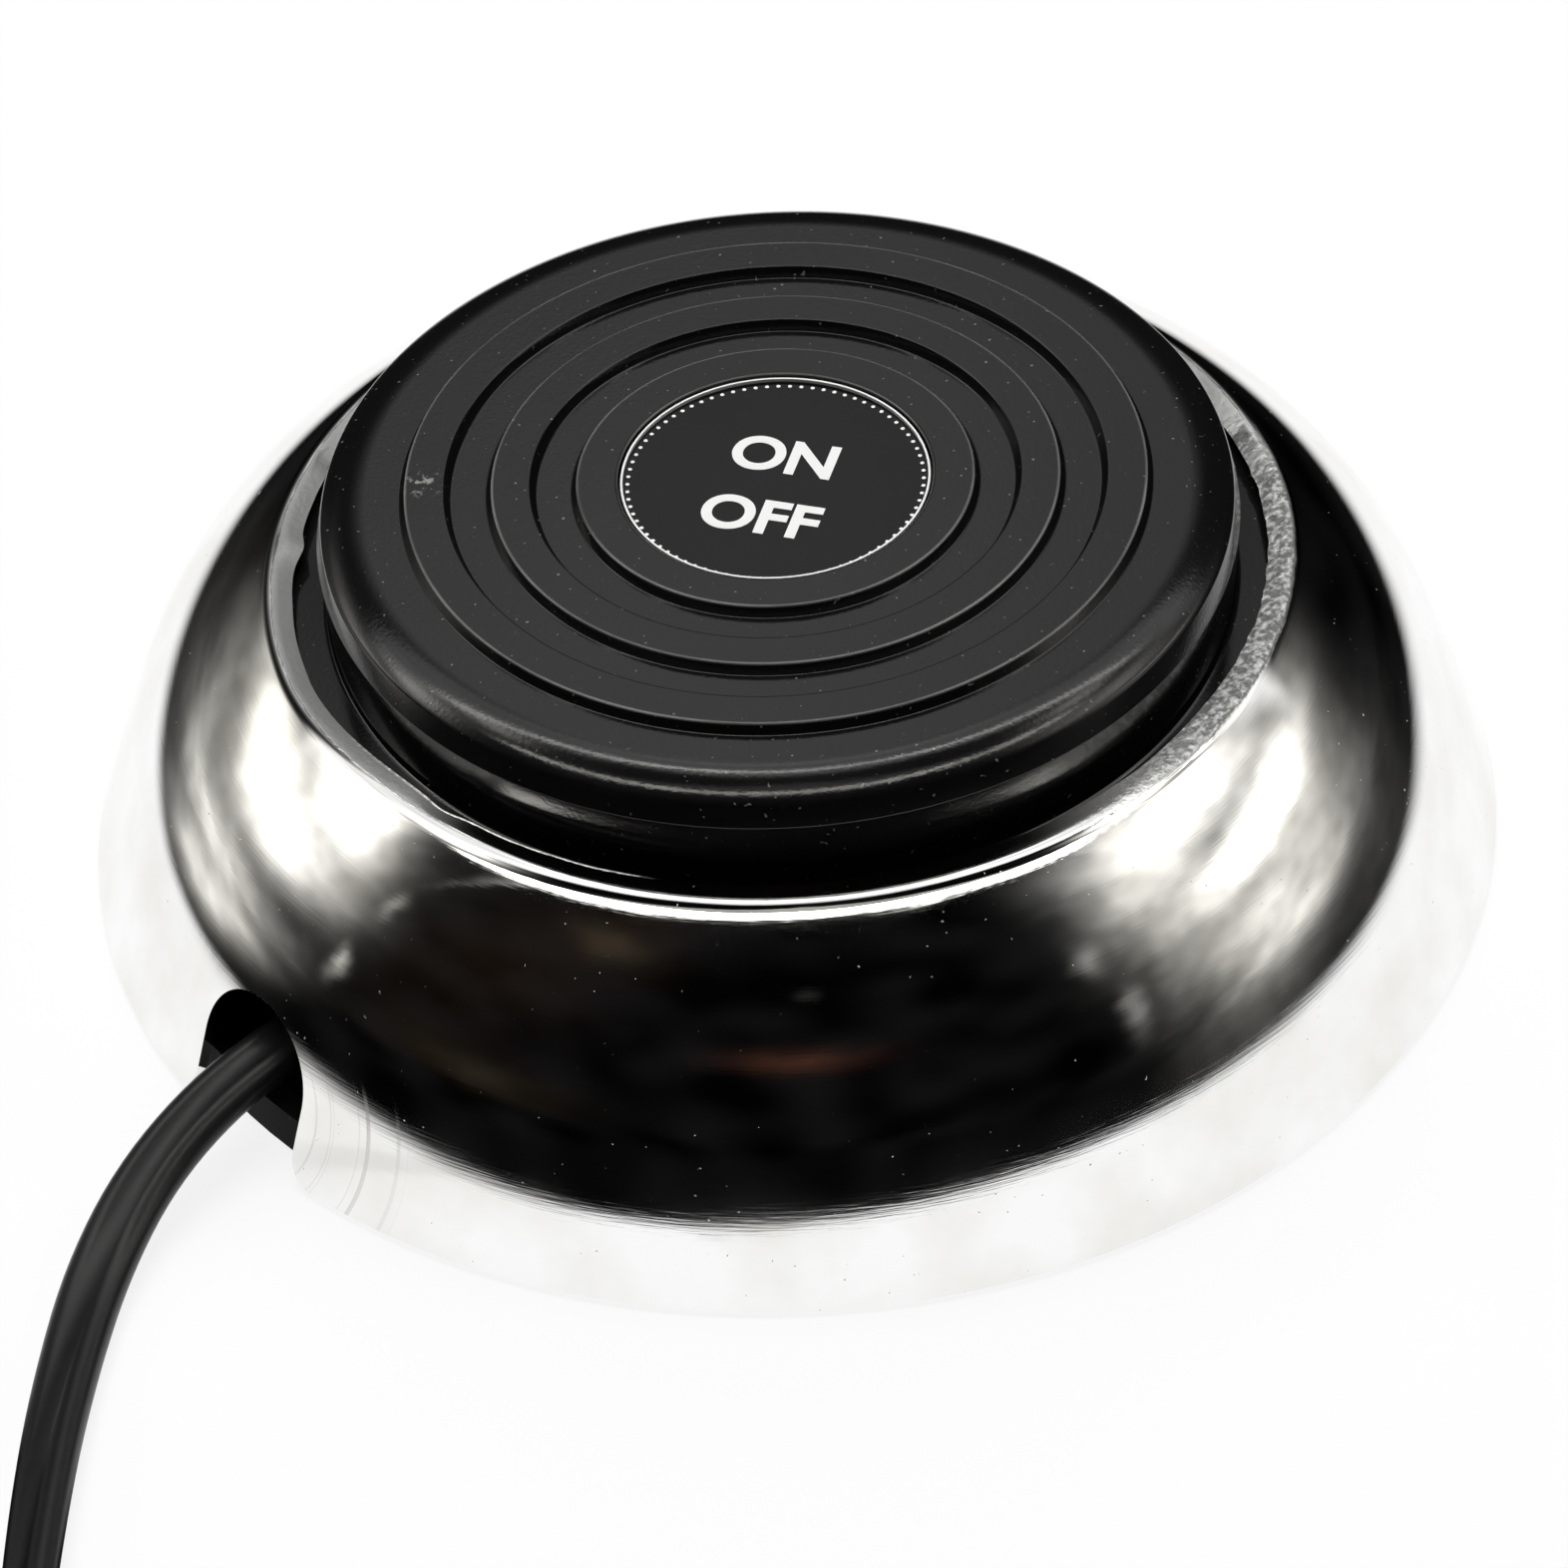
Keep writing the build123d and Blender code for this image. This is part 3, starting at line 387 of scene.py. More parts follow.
@dataclass(frozen=True)
class MouldedBlack(Finish):
    """Black ABS from a satin mould: soft sheen, worn edges painted pale as a highlight, scuffs, dust."""

    dust: float = 1.0
    scuff: Point | None = None
    scuff_reach: Flat = (2.2 * MM, 0.4 * MM)
    # Pale grey of the worn ring edges, which also serves as a painted edge highlight.
    rubbed_highlight_colour: str = "#a3a39f"
    scuff_colour: str = "#8b8a85"
    dust_colour: str = "#9a9892"
    cloud_mm: float = 9.0
    crumb_mm: float = 0.5
    # A real satin grain and real dust are several times finer; these are as coarse as they need to show.
    satin_mm: float = 0.35
    dust_mm: float = 0.4

    def dress(self, tree: bpy.types.NodeTree, shader: bpy.types.Node) -> None:
        """Adds the satin grain, worn edges painted pale as a highlight, scuffs and dust.

        Args:
            tree: The material's tree.
            shader: Its principled shader.
        """
        place = self.place(tree)
        satin, cloud, specks = (
            add_node(tree, "ShaderNodeTexNoise", {"Vector": place, "Scale": per_metre(mm), "Detail": detail})
            for mm, detail in ((self.satin_mm, 2.0), (self.cloud_mm, 4.0), (self.dust_mm, 0.0))
        )
        speck = add_node(
            tree,
            "ShaderNodeMapRange",
            {"Value": specks.outputs["Fac"], "From Min": 0.8, "From Max": 0.88, "To Max": 0.45 * self.dust},
        )
        # The wear mask paints the rings' top edges pale: partly worn plastic, partly a painted edge
        # highlight.
        wear = add_node(tree, "ShaderNodeAttribute", attribute_name="wear")
        rub_and_highlight = add_node(
            tree,
            "ShaderNodeMath",
            {0: wear.outputs["Fac"], 1: cloud.outputs["Fac"]},
            operation="MULTIPLY",
        )
        worn = add_node(
            tree, "ShaderNodeMix",
            {"Factor": rub_and_highlight.outputs[0], 6: linear(self.colour), 7: linear(self.rubbed_highlight_colour)},
            data_type="RGBA",
        )
        if self.scuff:
            away = add_node(tree, "ShaderNodeVectorMath", {0: place, 1: self.scuff}, operation="DISTANCE")
            near = add_node(
                tree, "ShaderNodeMapRange",
                {"Value": away.outputs["Value"], "From Min": self.scuff_reach[0],
                 "From Max": self.scuff_reach[1]},
            )
            crumbs = add_node(
                tree, "ShaderNodeTexNoise",
                {"Vector": place, "Scale": per_metre(self.crumb_mm), "Detail": 4.0},
            )
            broken = add_node(
                tree, "ShaderNodeMapRange",
                {"Value": crumbs.outputs["Fac"], "From Min": 0.55, "From Max": 0.65},
            )
            mark = add_node(
                tree, "ShaderNodeMath", {0: near.outputs[0], 1: broken.outputs[0]}, operation="MULTIPLY"
            )
            worn = add_node(
                tree, "ShaderNodeMix",
                {"Factor": mark.outputs[0], 6: worn.outputs[2], 7: linear(self.scuff_colour)},
                data_type="RGBA",
            )
        dusty = add_node(
            tree, "ShaderNodeMix",
            {"Factor": speck.outputs[0], 6: worn.outputs[2], 7: linear(self.dust_colour)},
            data_type="RGBA",
        )
        rough = add_node(
            tree,
            "ShaderNodeMapRange",
            {"Value": cloud.outputs["Fac"], "From Min": 0.3, "From Max": 0.7, "To Min": self.roughness * 0.82,
             "To Max": self.roughness * 1.15},
        )
        bump = add_node(
            tree, "ShaderNodeBump", {"Height": satin.outputs["Fac"], "Strength": 0.3, "Distance": 0.03 * MM}
        )
        tree.links.new(dusty.outputs[2], shader.inputs["Base Color"])
        tree.links.new(rough.outputs["Result"], shader.inputs["Roughness"])
        tree.links.new(bump.outputs["Normal"], shader.inputs["Normal"])


@dataclass(frozen=True)
class GlossFoil(Finish):
    """Printed foil under a clear gloss: nearly black, smooth, with a little haze from handling."""

    haze_mm: float = 4.0

    def dress(self, tree: bpy.types.NodeTree, shader: bpy.types.Node) -> None:
        """Adds the haze.

        Args:
            tree: The material's tree.
            shader: Its principled shader.
        """
        haze = add_node(
            tree, "ShaderNodeTexNoise",
            {"Vector": self.place(tree), "Scale": per_metre(self.haze_mm), "Detail": 3.0},
        )
        rough = add_node(
            tree, "ShaderNodeMapRange",
            {"Value": haze.outputs["Fac"], "To Min": self.roughness * 0.7, "To Max": self.roughness * 1.5},
        )
        tree.links.new(rough.outputs[0], shader.inputs["Roughness"])


# A bright mirror that shows the whole room, a little softened by haze and dust.
CHROME = ChromePlate("chromed_spun_steel", "#fafafa", 0.04, 1.0)
# Thin dull plating, which only shows as dark grey in the gap beside the pedal.
INSIDE = Finish("dull_plated_steel", "#6f6f6e", 0.45, 1.0)
# Near black, with soft highlights along the rounded edge and paler ring edges, worn and also painted lighter
# as an edge highlight.
PEDAL_ABS = MouldedBlack("satin_moulded_abs", "#0f0f10", 0.13, scuff=(-21.7 * MM, 18.5 * MM, 37.2 * MM))
# Dead black, so that the notch stays dark behind the cord.
BASE_ABS = MouldedBlack("matte_moulded_abs", "#0c0c0d", 0.5, specular=0.03, dust=0.4)
# Darker and smoother than the pedal round it, with a faint haze.
FOIL = GlossFoil("gloss_printed_foil", "#08080a", 0.1, ior=1.42, specular=0.4)
# A plain pale grey that doesn't glitter.
PRINT = Finish("silver_ink_print", "#e9e9e7", 0.3)
# Black, with a broad soft stripe of light along each core.
VINYL = Finish("extruded_vinyl", "#0f0f10", 0.36, specular=0.4)
# A little greyer and duller than the cord.
PLUG_VINYL = Finish("moulded_vinyl", "#19191a", 0.45)
# Bright grey with blurred reflections.
ZINC = Finish("zinc_plated_steel", "#b4b5b3", 0.32, 1.0)
# Warm yellow with soft highlights.
BRASS = Finish("stamped_brass", "#c9a45a", 0.3, 1.0)
# Dull dark grey, almost without highlights.
RUBBER = Finish("moulded_rubber", "#1d1d1d", 0.8)
# Creamy white with a waxy sheen.
NYLON = Finish("moulded_nylon", "#ddd8c8", 0.45)
# Dark brown, half dull.
PHENOLIC = Finish("moulded_phenolic", "#3a2b20", 0.5)


def new_piece(
    name: str,
    mesh: bpy.types.Mesh,
    finishes: Iterable[Finish],
    body: Body,
    slot: Slot,
    replaces: Sequence[str] = (),
) -> bpy.types.Object:
    """Makes an object of a finished mesh and ties it to the part.

    Args:
        name: Name of the piece.
        mesh: Its mesh, in place.
        finishes: Its materials, in the order of the faces' indices.
        body: Body it rides on.
        slot: Slot of the record meant for the piece; not used.
        replaces: CAD nodes that it stands for.

    Returns:
        The object.
    """
    piece = bpy.data.objects.new(name, mesh)
    bpy.context.scene.collection.objects.link(piece)
    for finish in finishes:
        mesh.materials.append(finish.material())
    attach(piece, body.value)
    if replaces:
        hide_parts(*replaces)
    LOG.info("piece %s: %d faces", name, len(mesh.polygons))
    return piece


def plain_mesh(name: str, source: bpy.types.Object) -> bpy.types.Mesh:
    """Turns an object's evaluated shape to a plain mesh and removes the object.

    Args:
        name: Name of the new mesh.
        source: Object with its modifiers.

    Returns:
        The mesh.
    """
    bpy.context.view_layer.update()
    depsgraph = bpy.context.evaluated_depsgraph_get()
    mesh = bpy.data.meshes.new_from_object(source.evaluated_get(depsgraph), depsgraph=depsgraph)
    mesh.name = name
    source.modifiers.clear()
    bpy.data.objects.remove(source)
    return mesh


class NodeShape:
    """Geometry node tree with named inputs, which ends in a real mesh with its material."""

    def __init__(self, name: str, **inputs: str) -> None:
        """Starts the tree.

        Args:
            name: Name of the tree.
            **inputs: Kind of socket of each input.
        """
        self.tree = bpy.data.node_groups.new(name, "GeometryNodeTree")
        face = self.tree.interface
        face.new_socket("Geometry", in_out="OUTPUT", socket_type="NodeSocketGeometry")
        self.sockets = {
            label: face.new_socket(label, in_out="INPUT", socket_type=f"NodeSocket{kind}").identifier
            for label, kind in inputs.items()
        }
        self.given = add_node(self.tree, "NodeGroupInput")

    def end(self, shape: bpy.types.NodeSocket) -> None:
        """Ends the tree in a real mesh with the material of the input Finish."""
        whole = add_node(self.tree, "GeometryNodeRealizeInstances", {"Geometry": shape})
        done = add_node(
            self.tree,
            "GeometryNodeSetMaterial",
            {"Geometry": whole.outputs["Geometry"], "Material": self.given.outputs["Finish"]},
        )
        add_node(self.tree, "NodeGroupOutput", {0: done.outputs["Geometry"]})

    def mesh(self, name: str, source: bpy.types.Object | None = None, **values: Any) -> bpy.types.Mesh:
        """Runs the tree.

        Args:
            name: Name of the mesh.
            source: Object that the tree works on, or none where it starts from nothing.
            **values: Value of each input.

        Returns:
            The plain mesh.
        """
        if source is None:
            source = bpy.data.objects.new(f"{name}_source", bpy.data.meshes.new(f"{name}_source"))
            bpy.context.scene.collection.objects.link(source)
        modifier = source.modifiers.new(self.tree.name, "NODES")
        modifier.node_group = self.tree
        for label, value in values.items():
            modifier[self.sockets[label]] = value
        return plain_mesh(name, source)


def smooth(mesh: bpy.types.Mesh, angle: float) -> bpy.types.Mesh:
    """Shades a mesh smooth except across sharp edges.

    Args:
        mesh: Mesh to shade.
        angle: Turn in degrees above which an edge stays sharp.

    Returns:
        The same mesh.
    """
    mesh.shade_smooth()
    mesh.set_sharp_from_angle(angle=math.radians(angle))
    return mesh


def arc(centre: Flat, radius: float, start: float, end: float, steps: int) -> list[Flat]:
    """Points along an arc in a profile.

    Args:
        centre: Its centre.
        radius: Its radius.
        start: First angle in degrees.
        end: Last angle in degrees.
        steps: Number of equal steps.

    Returns:
        Points from start to end.
    """
    angles = [math.radians(start + (end - start) * i / steps) for i in range(steps + 1)]
    return [(centre[0] + radius * math.cos(a), centre[1] + radius * math.sin(a)) for a in angles]


def rounded(points: Sequence[Point], steps: int = 4, margin: float = 0.0) -> list[Flat]:
    """Rounds the corners of an open profile.

    Args:
        points: Corners as radius, height and rounding.
        steps: Steps in each rounded corner.
        margin: Distance of a holding row beside each corner, or none.

    Returns:
        Radius and height of each point.
    """
    out: list[Flat] = []
    for index, (x, z, size) in enumerate(points):
        if index and margin and math.dist((x, z), points[index - 1][:2]) > 5 * margin:
            a, b = Vector(points[index - 1][:2]), Vector((x, z))
            step = (b - a).normalized() * (margin + size)
            out += [tuple(a + step), tuple(b - step)]
        if index in (0, len(points) - 1) or size <= 0:
            out.append((x, z))
            continue
        here = Vector((x, z))
        before = Vector(points[index - 1][:2]) - here
        after = Vector(points[index + 1][:2]) - here
        half = before.angle(after) / 2
        reach = min(size / math.tan(half), 0.48 * before.length, 0.48 * after.length)
        first, last = here + before.normalized() * reach, here + after.normalized() * reach
        for step in range(steps + 1):
            share = step / steps
            bent = (1 - share) ** 2 * first + 2 * share * (1 - share) * here + share ** 2 * last
            out.append((bent.x, bent.y))
    return out


@dataclass
class Lathe:
    """Closed solid of revolution with an even spacing round the axis.

    Args:
        columns: Steps in a full turn.
    """

    columns: int = 360

    def mesh(
        self, name: str, outline: Sequence[Flat], material: Callable[[int], int] = lambda row: 0
    ) -> bpy.types.Mesh:
        """Turns an outline from the axis back to the axis.

        Args:
            name: Name of the mesh.
            outline: Radius and height of each point, in metres; the first and last are on the axis.
            material: Material index of each row of faces.

        Returns:
            The mesh.
        """
        rows = outline[1:-1]
        points: list[Point] = [(0.0, 0.0, outline[0][1]), (0.0, 0.0, outline[-1][1])]
        for radius, height in rows:
            for column in range(self.columns):
                angle = 2 * math.pi * column / self.columns
                points.append((radius * math.cos(angle), radius * math.sin(angle), height))
        faces: list[tuple[int, ...]] = []
        indices: list[int] = []
        for column in range(self.columns):
            after = (column + 1) % self.columns
            faces.append((0, 2 + column, 2 + after))
            indices.append(material(0))
            for row in range(len(rows) - 1):
                low, high = 2 + row * self.columns, 2 + (row + 1) * self.columns
                faces.append((low + column, high + column, high + after, low + after))
                indices.append(material(row + 1))
            last = 2 + (len(rows) - 1) * self.columns
            faces.append((1, last + after, last + column))
            indices.append(material(len(rows)))
        mesh = bpy.data.meshes.new(name)
        mesh.from_pydata(points, [], faces)
        mesh.polygons.foreach_set("material_index", indices)
        outward(mesh)
        return mesh


def outward(mesh: bpy.types.Mesh) -> None:
    """Turns a closed mesh's faces outwards."""
    work = bmesh.new()
    work.from_mesh(mesh)
    bmesh.ops.recalc_face_normals(work, faces=work.faces)
    work.to_mesh(mesh)
    work.free()


@dataclass(frozen=True)
class Lip:
    """Profile of the dome's rim: a rounded crest and a slope that ends at the opening."""

    crest: float
    drop: float
    width: float
    opening: float


@dataclass(frozen=True)
class Stretch:
    """Part of the rim, in degrees from the front: its start, its growth, its end and its fading."""

    start: float
    growth: float
    end: float
    fading: float

    def share(self, heading: float) -> float:
        """How far a heading lies inside, from 0 to 1."""
        return eased((heading - self.start) / self.growth) * eased((self.end - heading) / self.fading)


@dataclass
class Dome:
    """Chromed dome with its trimmed lip and the cord's notch."""

    level: float = 0.6 * MM
    radius: float = 58.4 * MM
    wall: float = 1.0 * MM
    tilt: float = 18.4
    skirt: float = 12.2 * MM
    shoulder: float = 28.4 * MM
    cut: Lip = Lip(1.6 * MM, 24.0, 1.05 * MM, 39.9 * MM)
    rolled: Lip = Lip(3.0 * MM, 8.0, 1.0 * MM, 39.1 * MM)
    front: float = -127.1
    crest_steps: int = 18
    lip_steps: int = 4
    uneven_from: int = 8
    skirt_rows: int = 16
    over_notch: float = 6.4 * MM
    over_rows: int = 8
    shoulder_steps: int = 24
    edge_ease: float = 0.14 * MM
    sharp: float = 50.0
    rolled_part: Stretch = Stretch(-76, 26, 108, 56)
    sandy_part: Stretch = Stretch(26, 30, 112, 14)
    burr_part: Stretch = Stretch(-64, 6, -16, 5)
    plated_front: Flat = (-40.0, 104.0)
    plain_fade: float = 14.0
    rough_middle: float = 318.0
    rough_half: float = 34.0
    # Nicks in the lip: angle and width in degrees, then the shift outwards and upwards in millimetres.
    nicks: tuple[tuple[float, float, float, float], ...] = (
        (134.7, 2.2, -0.55, 0.25), (118.7, 1.6, 0.45, -0.1), (188.0, 2.6, 0.3, -0.05),
    )
    notch_width: float = 12.8 * MM
    notch_height: float = 12.7 * MM
    notch_flare: float = 2.5 * MM
    columns: int = 640
    notch_columns: int = 54
    notch_rings: int = 9

    def __post_init__(self) -> None:
        """Works out the profile's centres."""
        lean = math.radians(self.tilt)
        self.lean = lean
        self.skirt_top = (self.radius - self.skirt * math.tan(lean), self.level + self.skirt)
        self.centre = (
            self.skirt_top[0] - self.shoulder * math.cos(lean),
            self.skirt_top[1] - self.shoulder * math.sin(lean),
        )

    def wall_radius(self, height: float, inset: float) -> float:
        """Radius of the wall's face at a height, below the crest.

        Args:
            height: Height above the floor.
            inset: 0 on the outer face, the wall's thickness on the inner one.

        Returns:
            The radius.
        """
        if height <= self.skirt_top[1] - inset * math.sin(self.lean):
            return self.radius - inset / math.cos(self.lean) - (height - self.level) * math.tan(self.lean)
        size = self.shoulder - inset
        return self.centre[0] + math.sqrt(size ** 2 - (height - self.centre[1]) ** 2)

    def heights(self) -> list[float]:
        """Heights of the rows beside the notch, the same on both faces."""
        skirt = [self.level + self.skirt * i / self.skirt_rows for i in range(self.skirt_rows + 1)]
        over = [self.over_notch * i / self.over_rows for i in range(1, self.over_rows + 1)]
        return skirt + [self.skirt_top[1] + rise for rise in over]

    def upper_rows(self, lip: Lip, inset: float) -> list[Flat]:
        """Profile of one face from above the notch to the lip.

        Args:
            lip: Profile of the rim.
            inset: 0 on the outer face, the wall's thickness on the inner one.

        Returns:
            Radius and height of each row.
        """
        drop = math.radians(lip.drop)
        place = lip.opening + lip.width + lip.crest * math.sin(drop)
        turn = math.degrees(math.acos((place - self.centre[0]) / (self.shoulder - lip.crest)))
        crest = (place, self.centre[1] + (self.shoulder - lip.crest) * math.sin(math.radians(turn)))
        size = self.shoulder - inset
        start = math.degrees(math.asin((self.heights()[-1] - self.centre[1]) / size))
        rows = arc(self.centre, size, start, turn, self.shoulder_steps)[1:]
        rows += arc(crest, lip.crest - inset, turn, 90 + lip.drop, self.crest_steps)[1:]
        end = (
            lip.opening + inset * math.sin(drop),
            crest[1] + lip.crest * math.cos(drop) - lip.width * math.tan(drop) - inset * math.cos(drop),
        )
        last = rows[-1]
        for step in range(1, self.lip_steps + 1):
            share = step / self.lip_steps
            rows.append((last[0] + (end[0] - last[0]) * share, last[1] + (end[1] - last[1]) * share))
        return rows

    def heading(self, angle: float) -> float:
        """Degrees from the front to an angle round the axis, from -180 to 180."""
        return wrapped(math.degrees(angle) - self.front)

    def roll(self, angle: float) -> float:
        """Share of the rolled profile at an angle; elsewhere the lip is cut."""
        return self.rolled_part.share(self.heading(angle))

    def bare(self, row: int, angle: float) -> tuple[float, float]:
        """How far the plating is worn off a row of the rim.

        Args:
            row: Row counted from the crest's first one.
            angle: Angle round the axis, in radians.

        Returns:
            Shares of plain raw metal and of sandy metal.
        """
        heading = self.heading(angle)
        share = row / self.crest_steps
        place = Vector((math.cos(angle), math.sin(angle), 0.3))
        ragged = 0.05 * noise.noise(place * 23.0) + 0.03 * noise.noise(place * 71.0)
        sandy = self.sandy_part.share(heading) * eased((share - 0.16 + ragged) / 0.16)
        left, right = self.plated_front
        plain = max(eased((left - heading) / self.plain_fade), eased((heading - right) / self.plain_fade))
        burr = self.burr_part.share(heading) * eased(row - self.crest_steps - 2)
        return plain * eased((share - 0.52 + ragged) / 0.1), max(burr, sandy)

    def notch_line(self, sides: int, top: int) -> list[Flat]:
        """Outline of the notch from its left foot over the arch to its right foot.

        Args:
            sides: Steps up each side.
            top: Steps over the middle of the arch.

        Returns:
            Sideways place and height of each point.
        """
        half = self.notch_width / 2
        foot, flare = half + self.notch_flare, self.level + self.notch_flare
        arch = self.level + self.notch_height - half
        line = arc((-foot, flare), self.notch_flare, -90, 0, 40) + arc((0, arch), half, 180, 135, 40)
        left = resample(line, sides)
        middle = arc((0, arch), half, 135, 45, top)
        right = [(-y, z) for y, z in reversed(left)]
        return left + middle[1:] + right[1:]

    def rim_shift(self, angle: float) -> tuple[float, float]:
        """Unevenness of the trimmed lip at an angle.

        Args:
            angle: Angle round the axis, in radians.

        Returns:
            Shift of the radius and of the height at the lip's end.
        """
        place = Vector((math.cos(angle), math.sin(angle), 0.0))
        wave = noise.noise(place * 3.1) * 0.10 + noise.noise(place * 11.0) * 0.07
        degrees = math.degrees(angle) % 360
        rough = max(0.0, 1.0 - abs(wrapped(degrees - self.rough_middle)) / self.rough_half)
        wave += rough * 0.22 * noise.noise(place * 38.0)
        lift = rough * 0.12 * noise.noise(place * 47.0)
        for middle, width, out, up in self.nicks:
            share = math.exp(-(wrapped(degrees - middle) / width) ** 2)
            wave += out * share
            lift += up * share
        return wave * MM, lift * MM

    def mesh(self) -> bpy.types.Mesh:
        """Builds both faces, the lip, the foot and the notch as one closed wall."""
        keys: dict[tuple, int] = {}
        points: list[Point] = []
        wear: list[Flat] = []
        faces: list[list[int]] = []
        kinds: list[int] = []

        def vertex(key: tuple, place: Point, worn: Flat = (0.0, 0.0)) -> int:
            """Returns the index of a shared vertex."""
            if key not in keys:
                keys[key] = len(points)
                points.append(place)
                wear.append(worn)
            return keys[key]

        heights = self.heights()
        half = self.notch_columns // 2
        first, last = self.columns // 2 - half, self.columns // 2 + half
        rows: dict[int, list[Flat]] = {}
        rolled: dict[int, list[Flat]] = {}
        for face, inset in ((0, 0.0), (1, self.wall)):
            plain = [(self.wall_radius(z, inset), z) for z in heights]
            rows[face] = plain + self.upper_rows(self.cut, inset)
            rolled[face] = plain + self.upper_rows(self.rolled, inset)
        crest = len(rows[0]) - self.crest_steps - self.lip_steps

        def wall_vertex(face: int, row: int, column: int) -> int:
            """Returns the vertex of a row and column of the turned grid."""
            angle = 2 * math.pi * column / self.columns
            roll = self.roll(angle)
            radius, z = (a + (b - a) * roll for a, b in zip(rows[face][row], rolled[face][row]))
            away = row - crest
            trim = (away - self.uneven_from) / (self.crest_steps + self.lip_steps - self.uneven_from)
            if trim > 0:
                out, up = self.rim_shift(angle)
                radius, z = radius + out * trim, z + up * trim
            worn = self.bare(away, angle) if away > 0 and face == 0 else (0.0, 0.0)
            place = (radius * math.cos(angle), radius * math.sin(angle), z)
            return vertex((face, row, column % self.columns), place, worn)

        def patch_vertex(face: int, ring: int, step: int) -> int:
            """Returns a vertex between the notch's outline and the turned grid."""
            corner = edge[step]
            if ring == self.notch_rings:
                return wall_vertex(face, corner[0], corner[1])
            angle = 2 * math.pi * corner[1] / self.columns
            radius, z = rows[face][corner[0]]
            share = ring / self.notch_rings
            side = line[step][0] * (1 - share) - radius * math.sin(angle) * share
            height = line[step][1] * (1 - share) + z * share
            reach = self.wall_radius(height, 0.0 if face == 0 else self.wall)
            return vertex(("n", face, ring, step), (-math.sqrt(reach ** 2 - side ** 2), -side, height))

        def quad(corners: list[int], kind: int) -> None:
            """Adds a face."""
            faces.append(corners)
            kinds.append(kind)

        sides = len(heights) - 1
        edge = [(row, first) for row in range(sides + 1)]
        edge += [(sides, column) for column in range(first + 1, last + 1)]
        edge += [(row, last) for row in range(sides - 1, -1, -1)]
        line = self.notch_line(sides, self.notch_columns)
        total = len(rows[0])
        corners = ((0, 0), (0, 1), (1, 1), (1, 0))
        for face in (0, 1):
            for row in range(total - 1):
                for column in range(self.columns):
                    if row >= sides or not first <= column < last:
                        quad([wall_vertex(face, row + r, column + c) for r, c in corners], face)
            for ring in range(self.notch_rings):
                for step in range(len(edge) - 1):
                    quad([patch_vertex(face, ring + r, step + s) for r, s in corners], face)
        for column in range(self.columns):
            quad([wall_vertex(f, total - 1, column + c) for f, c in corners], 0)
            if not first <= column < last:
                quad([wall_vertex(f, 0, column + c) for f, c in corners], 0)
        for step in range(len(edge) - 1):
            quad([patch_vertex(f, 0, step + s) for f, s in corners], 0)
        for ring in range(self.notch_rings):
            for step in (0, len(edge) - 1):
                quad([patch_vertex(f, ring + r, step) for f, r in corners], 0)
        mesh = bpy.data.meshes.new("chrome_dome")
        mesh.from_pydata(points, [], faces)
        mesh.polygons.foreach_set("material_index", kinds)
        for index, name in enumerate(("raw", "sand")):
            layer = mesh.attributes.new(name, "FLOAT", "POINT")
            layer.data.foreach_set("value", [worn[index] for worn in wear])
        mesh.validate()
        outward(mesh)
        return mesh

    def build(self) -> None:
        """Builds the dome and dresses it."""
        mesh = smooth(self.mesh(), self.sharp)
        piece = new_piece("dome", mesh, (CHROME, INSIDE), Body.BASE, Slot.CHROME, ["chrome_shell"])
        bevel = piece.modifiers.new("eased_edges", "BEVEL")
        bevel.width, bevel.segments = self.edge_ease, 2
        bevel.limit_method, bevel.angle_limit = "ANGLE", math.radians(self.sharp)
        bevel.harden_normals = True


def resample(line: Sequence[Flat], steps: int) -> list[Flat]:
    """Spreads points evenly along a line.

    Args:
        line: Points of the line.
        steps: Number of equal steps.

    Returns:
        The new points, both ends included.
    """
    lengths = [0.0]
    for a, b in zip(line, line[1:]):
        lengths.append(lengths[-1] + math.dist(a, b))
    out, index = [], 0
    for step in range(steps + 1):
        goal = lengths[-1] * step / steps
        while index < len(line) - 2 and lengths[index + 1] < goal:
            index += 1
        share = (goal - lengths[index]) / (lengths[index + 1] - lengths[index])
        a, b = line[index], line[index + 1]
        out.append((a[0] + (b[0] - a[0]) * share, a[1] + (b[1] - a[1]) * share))
    return out


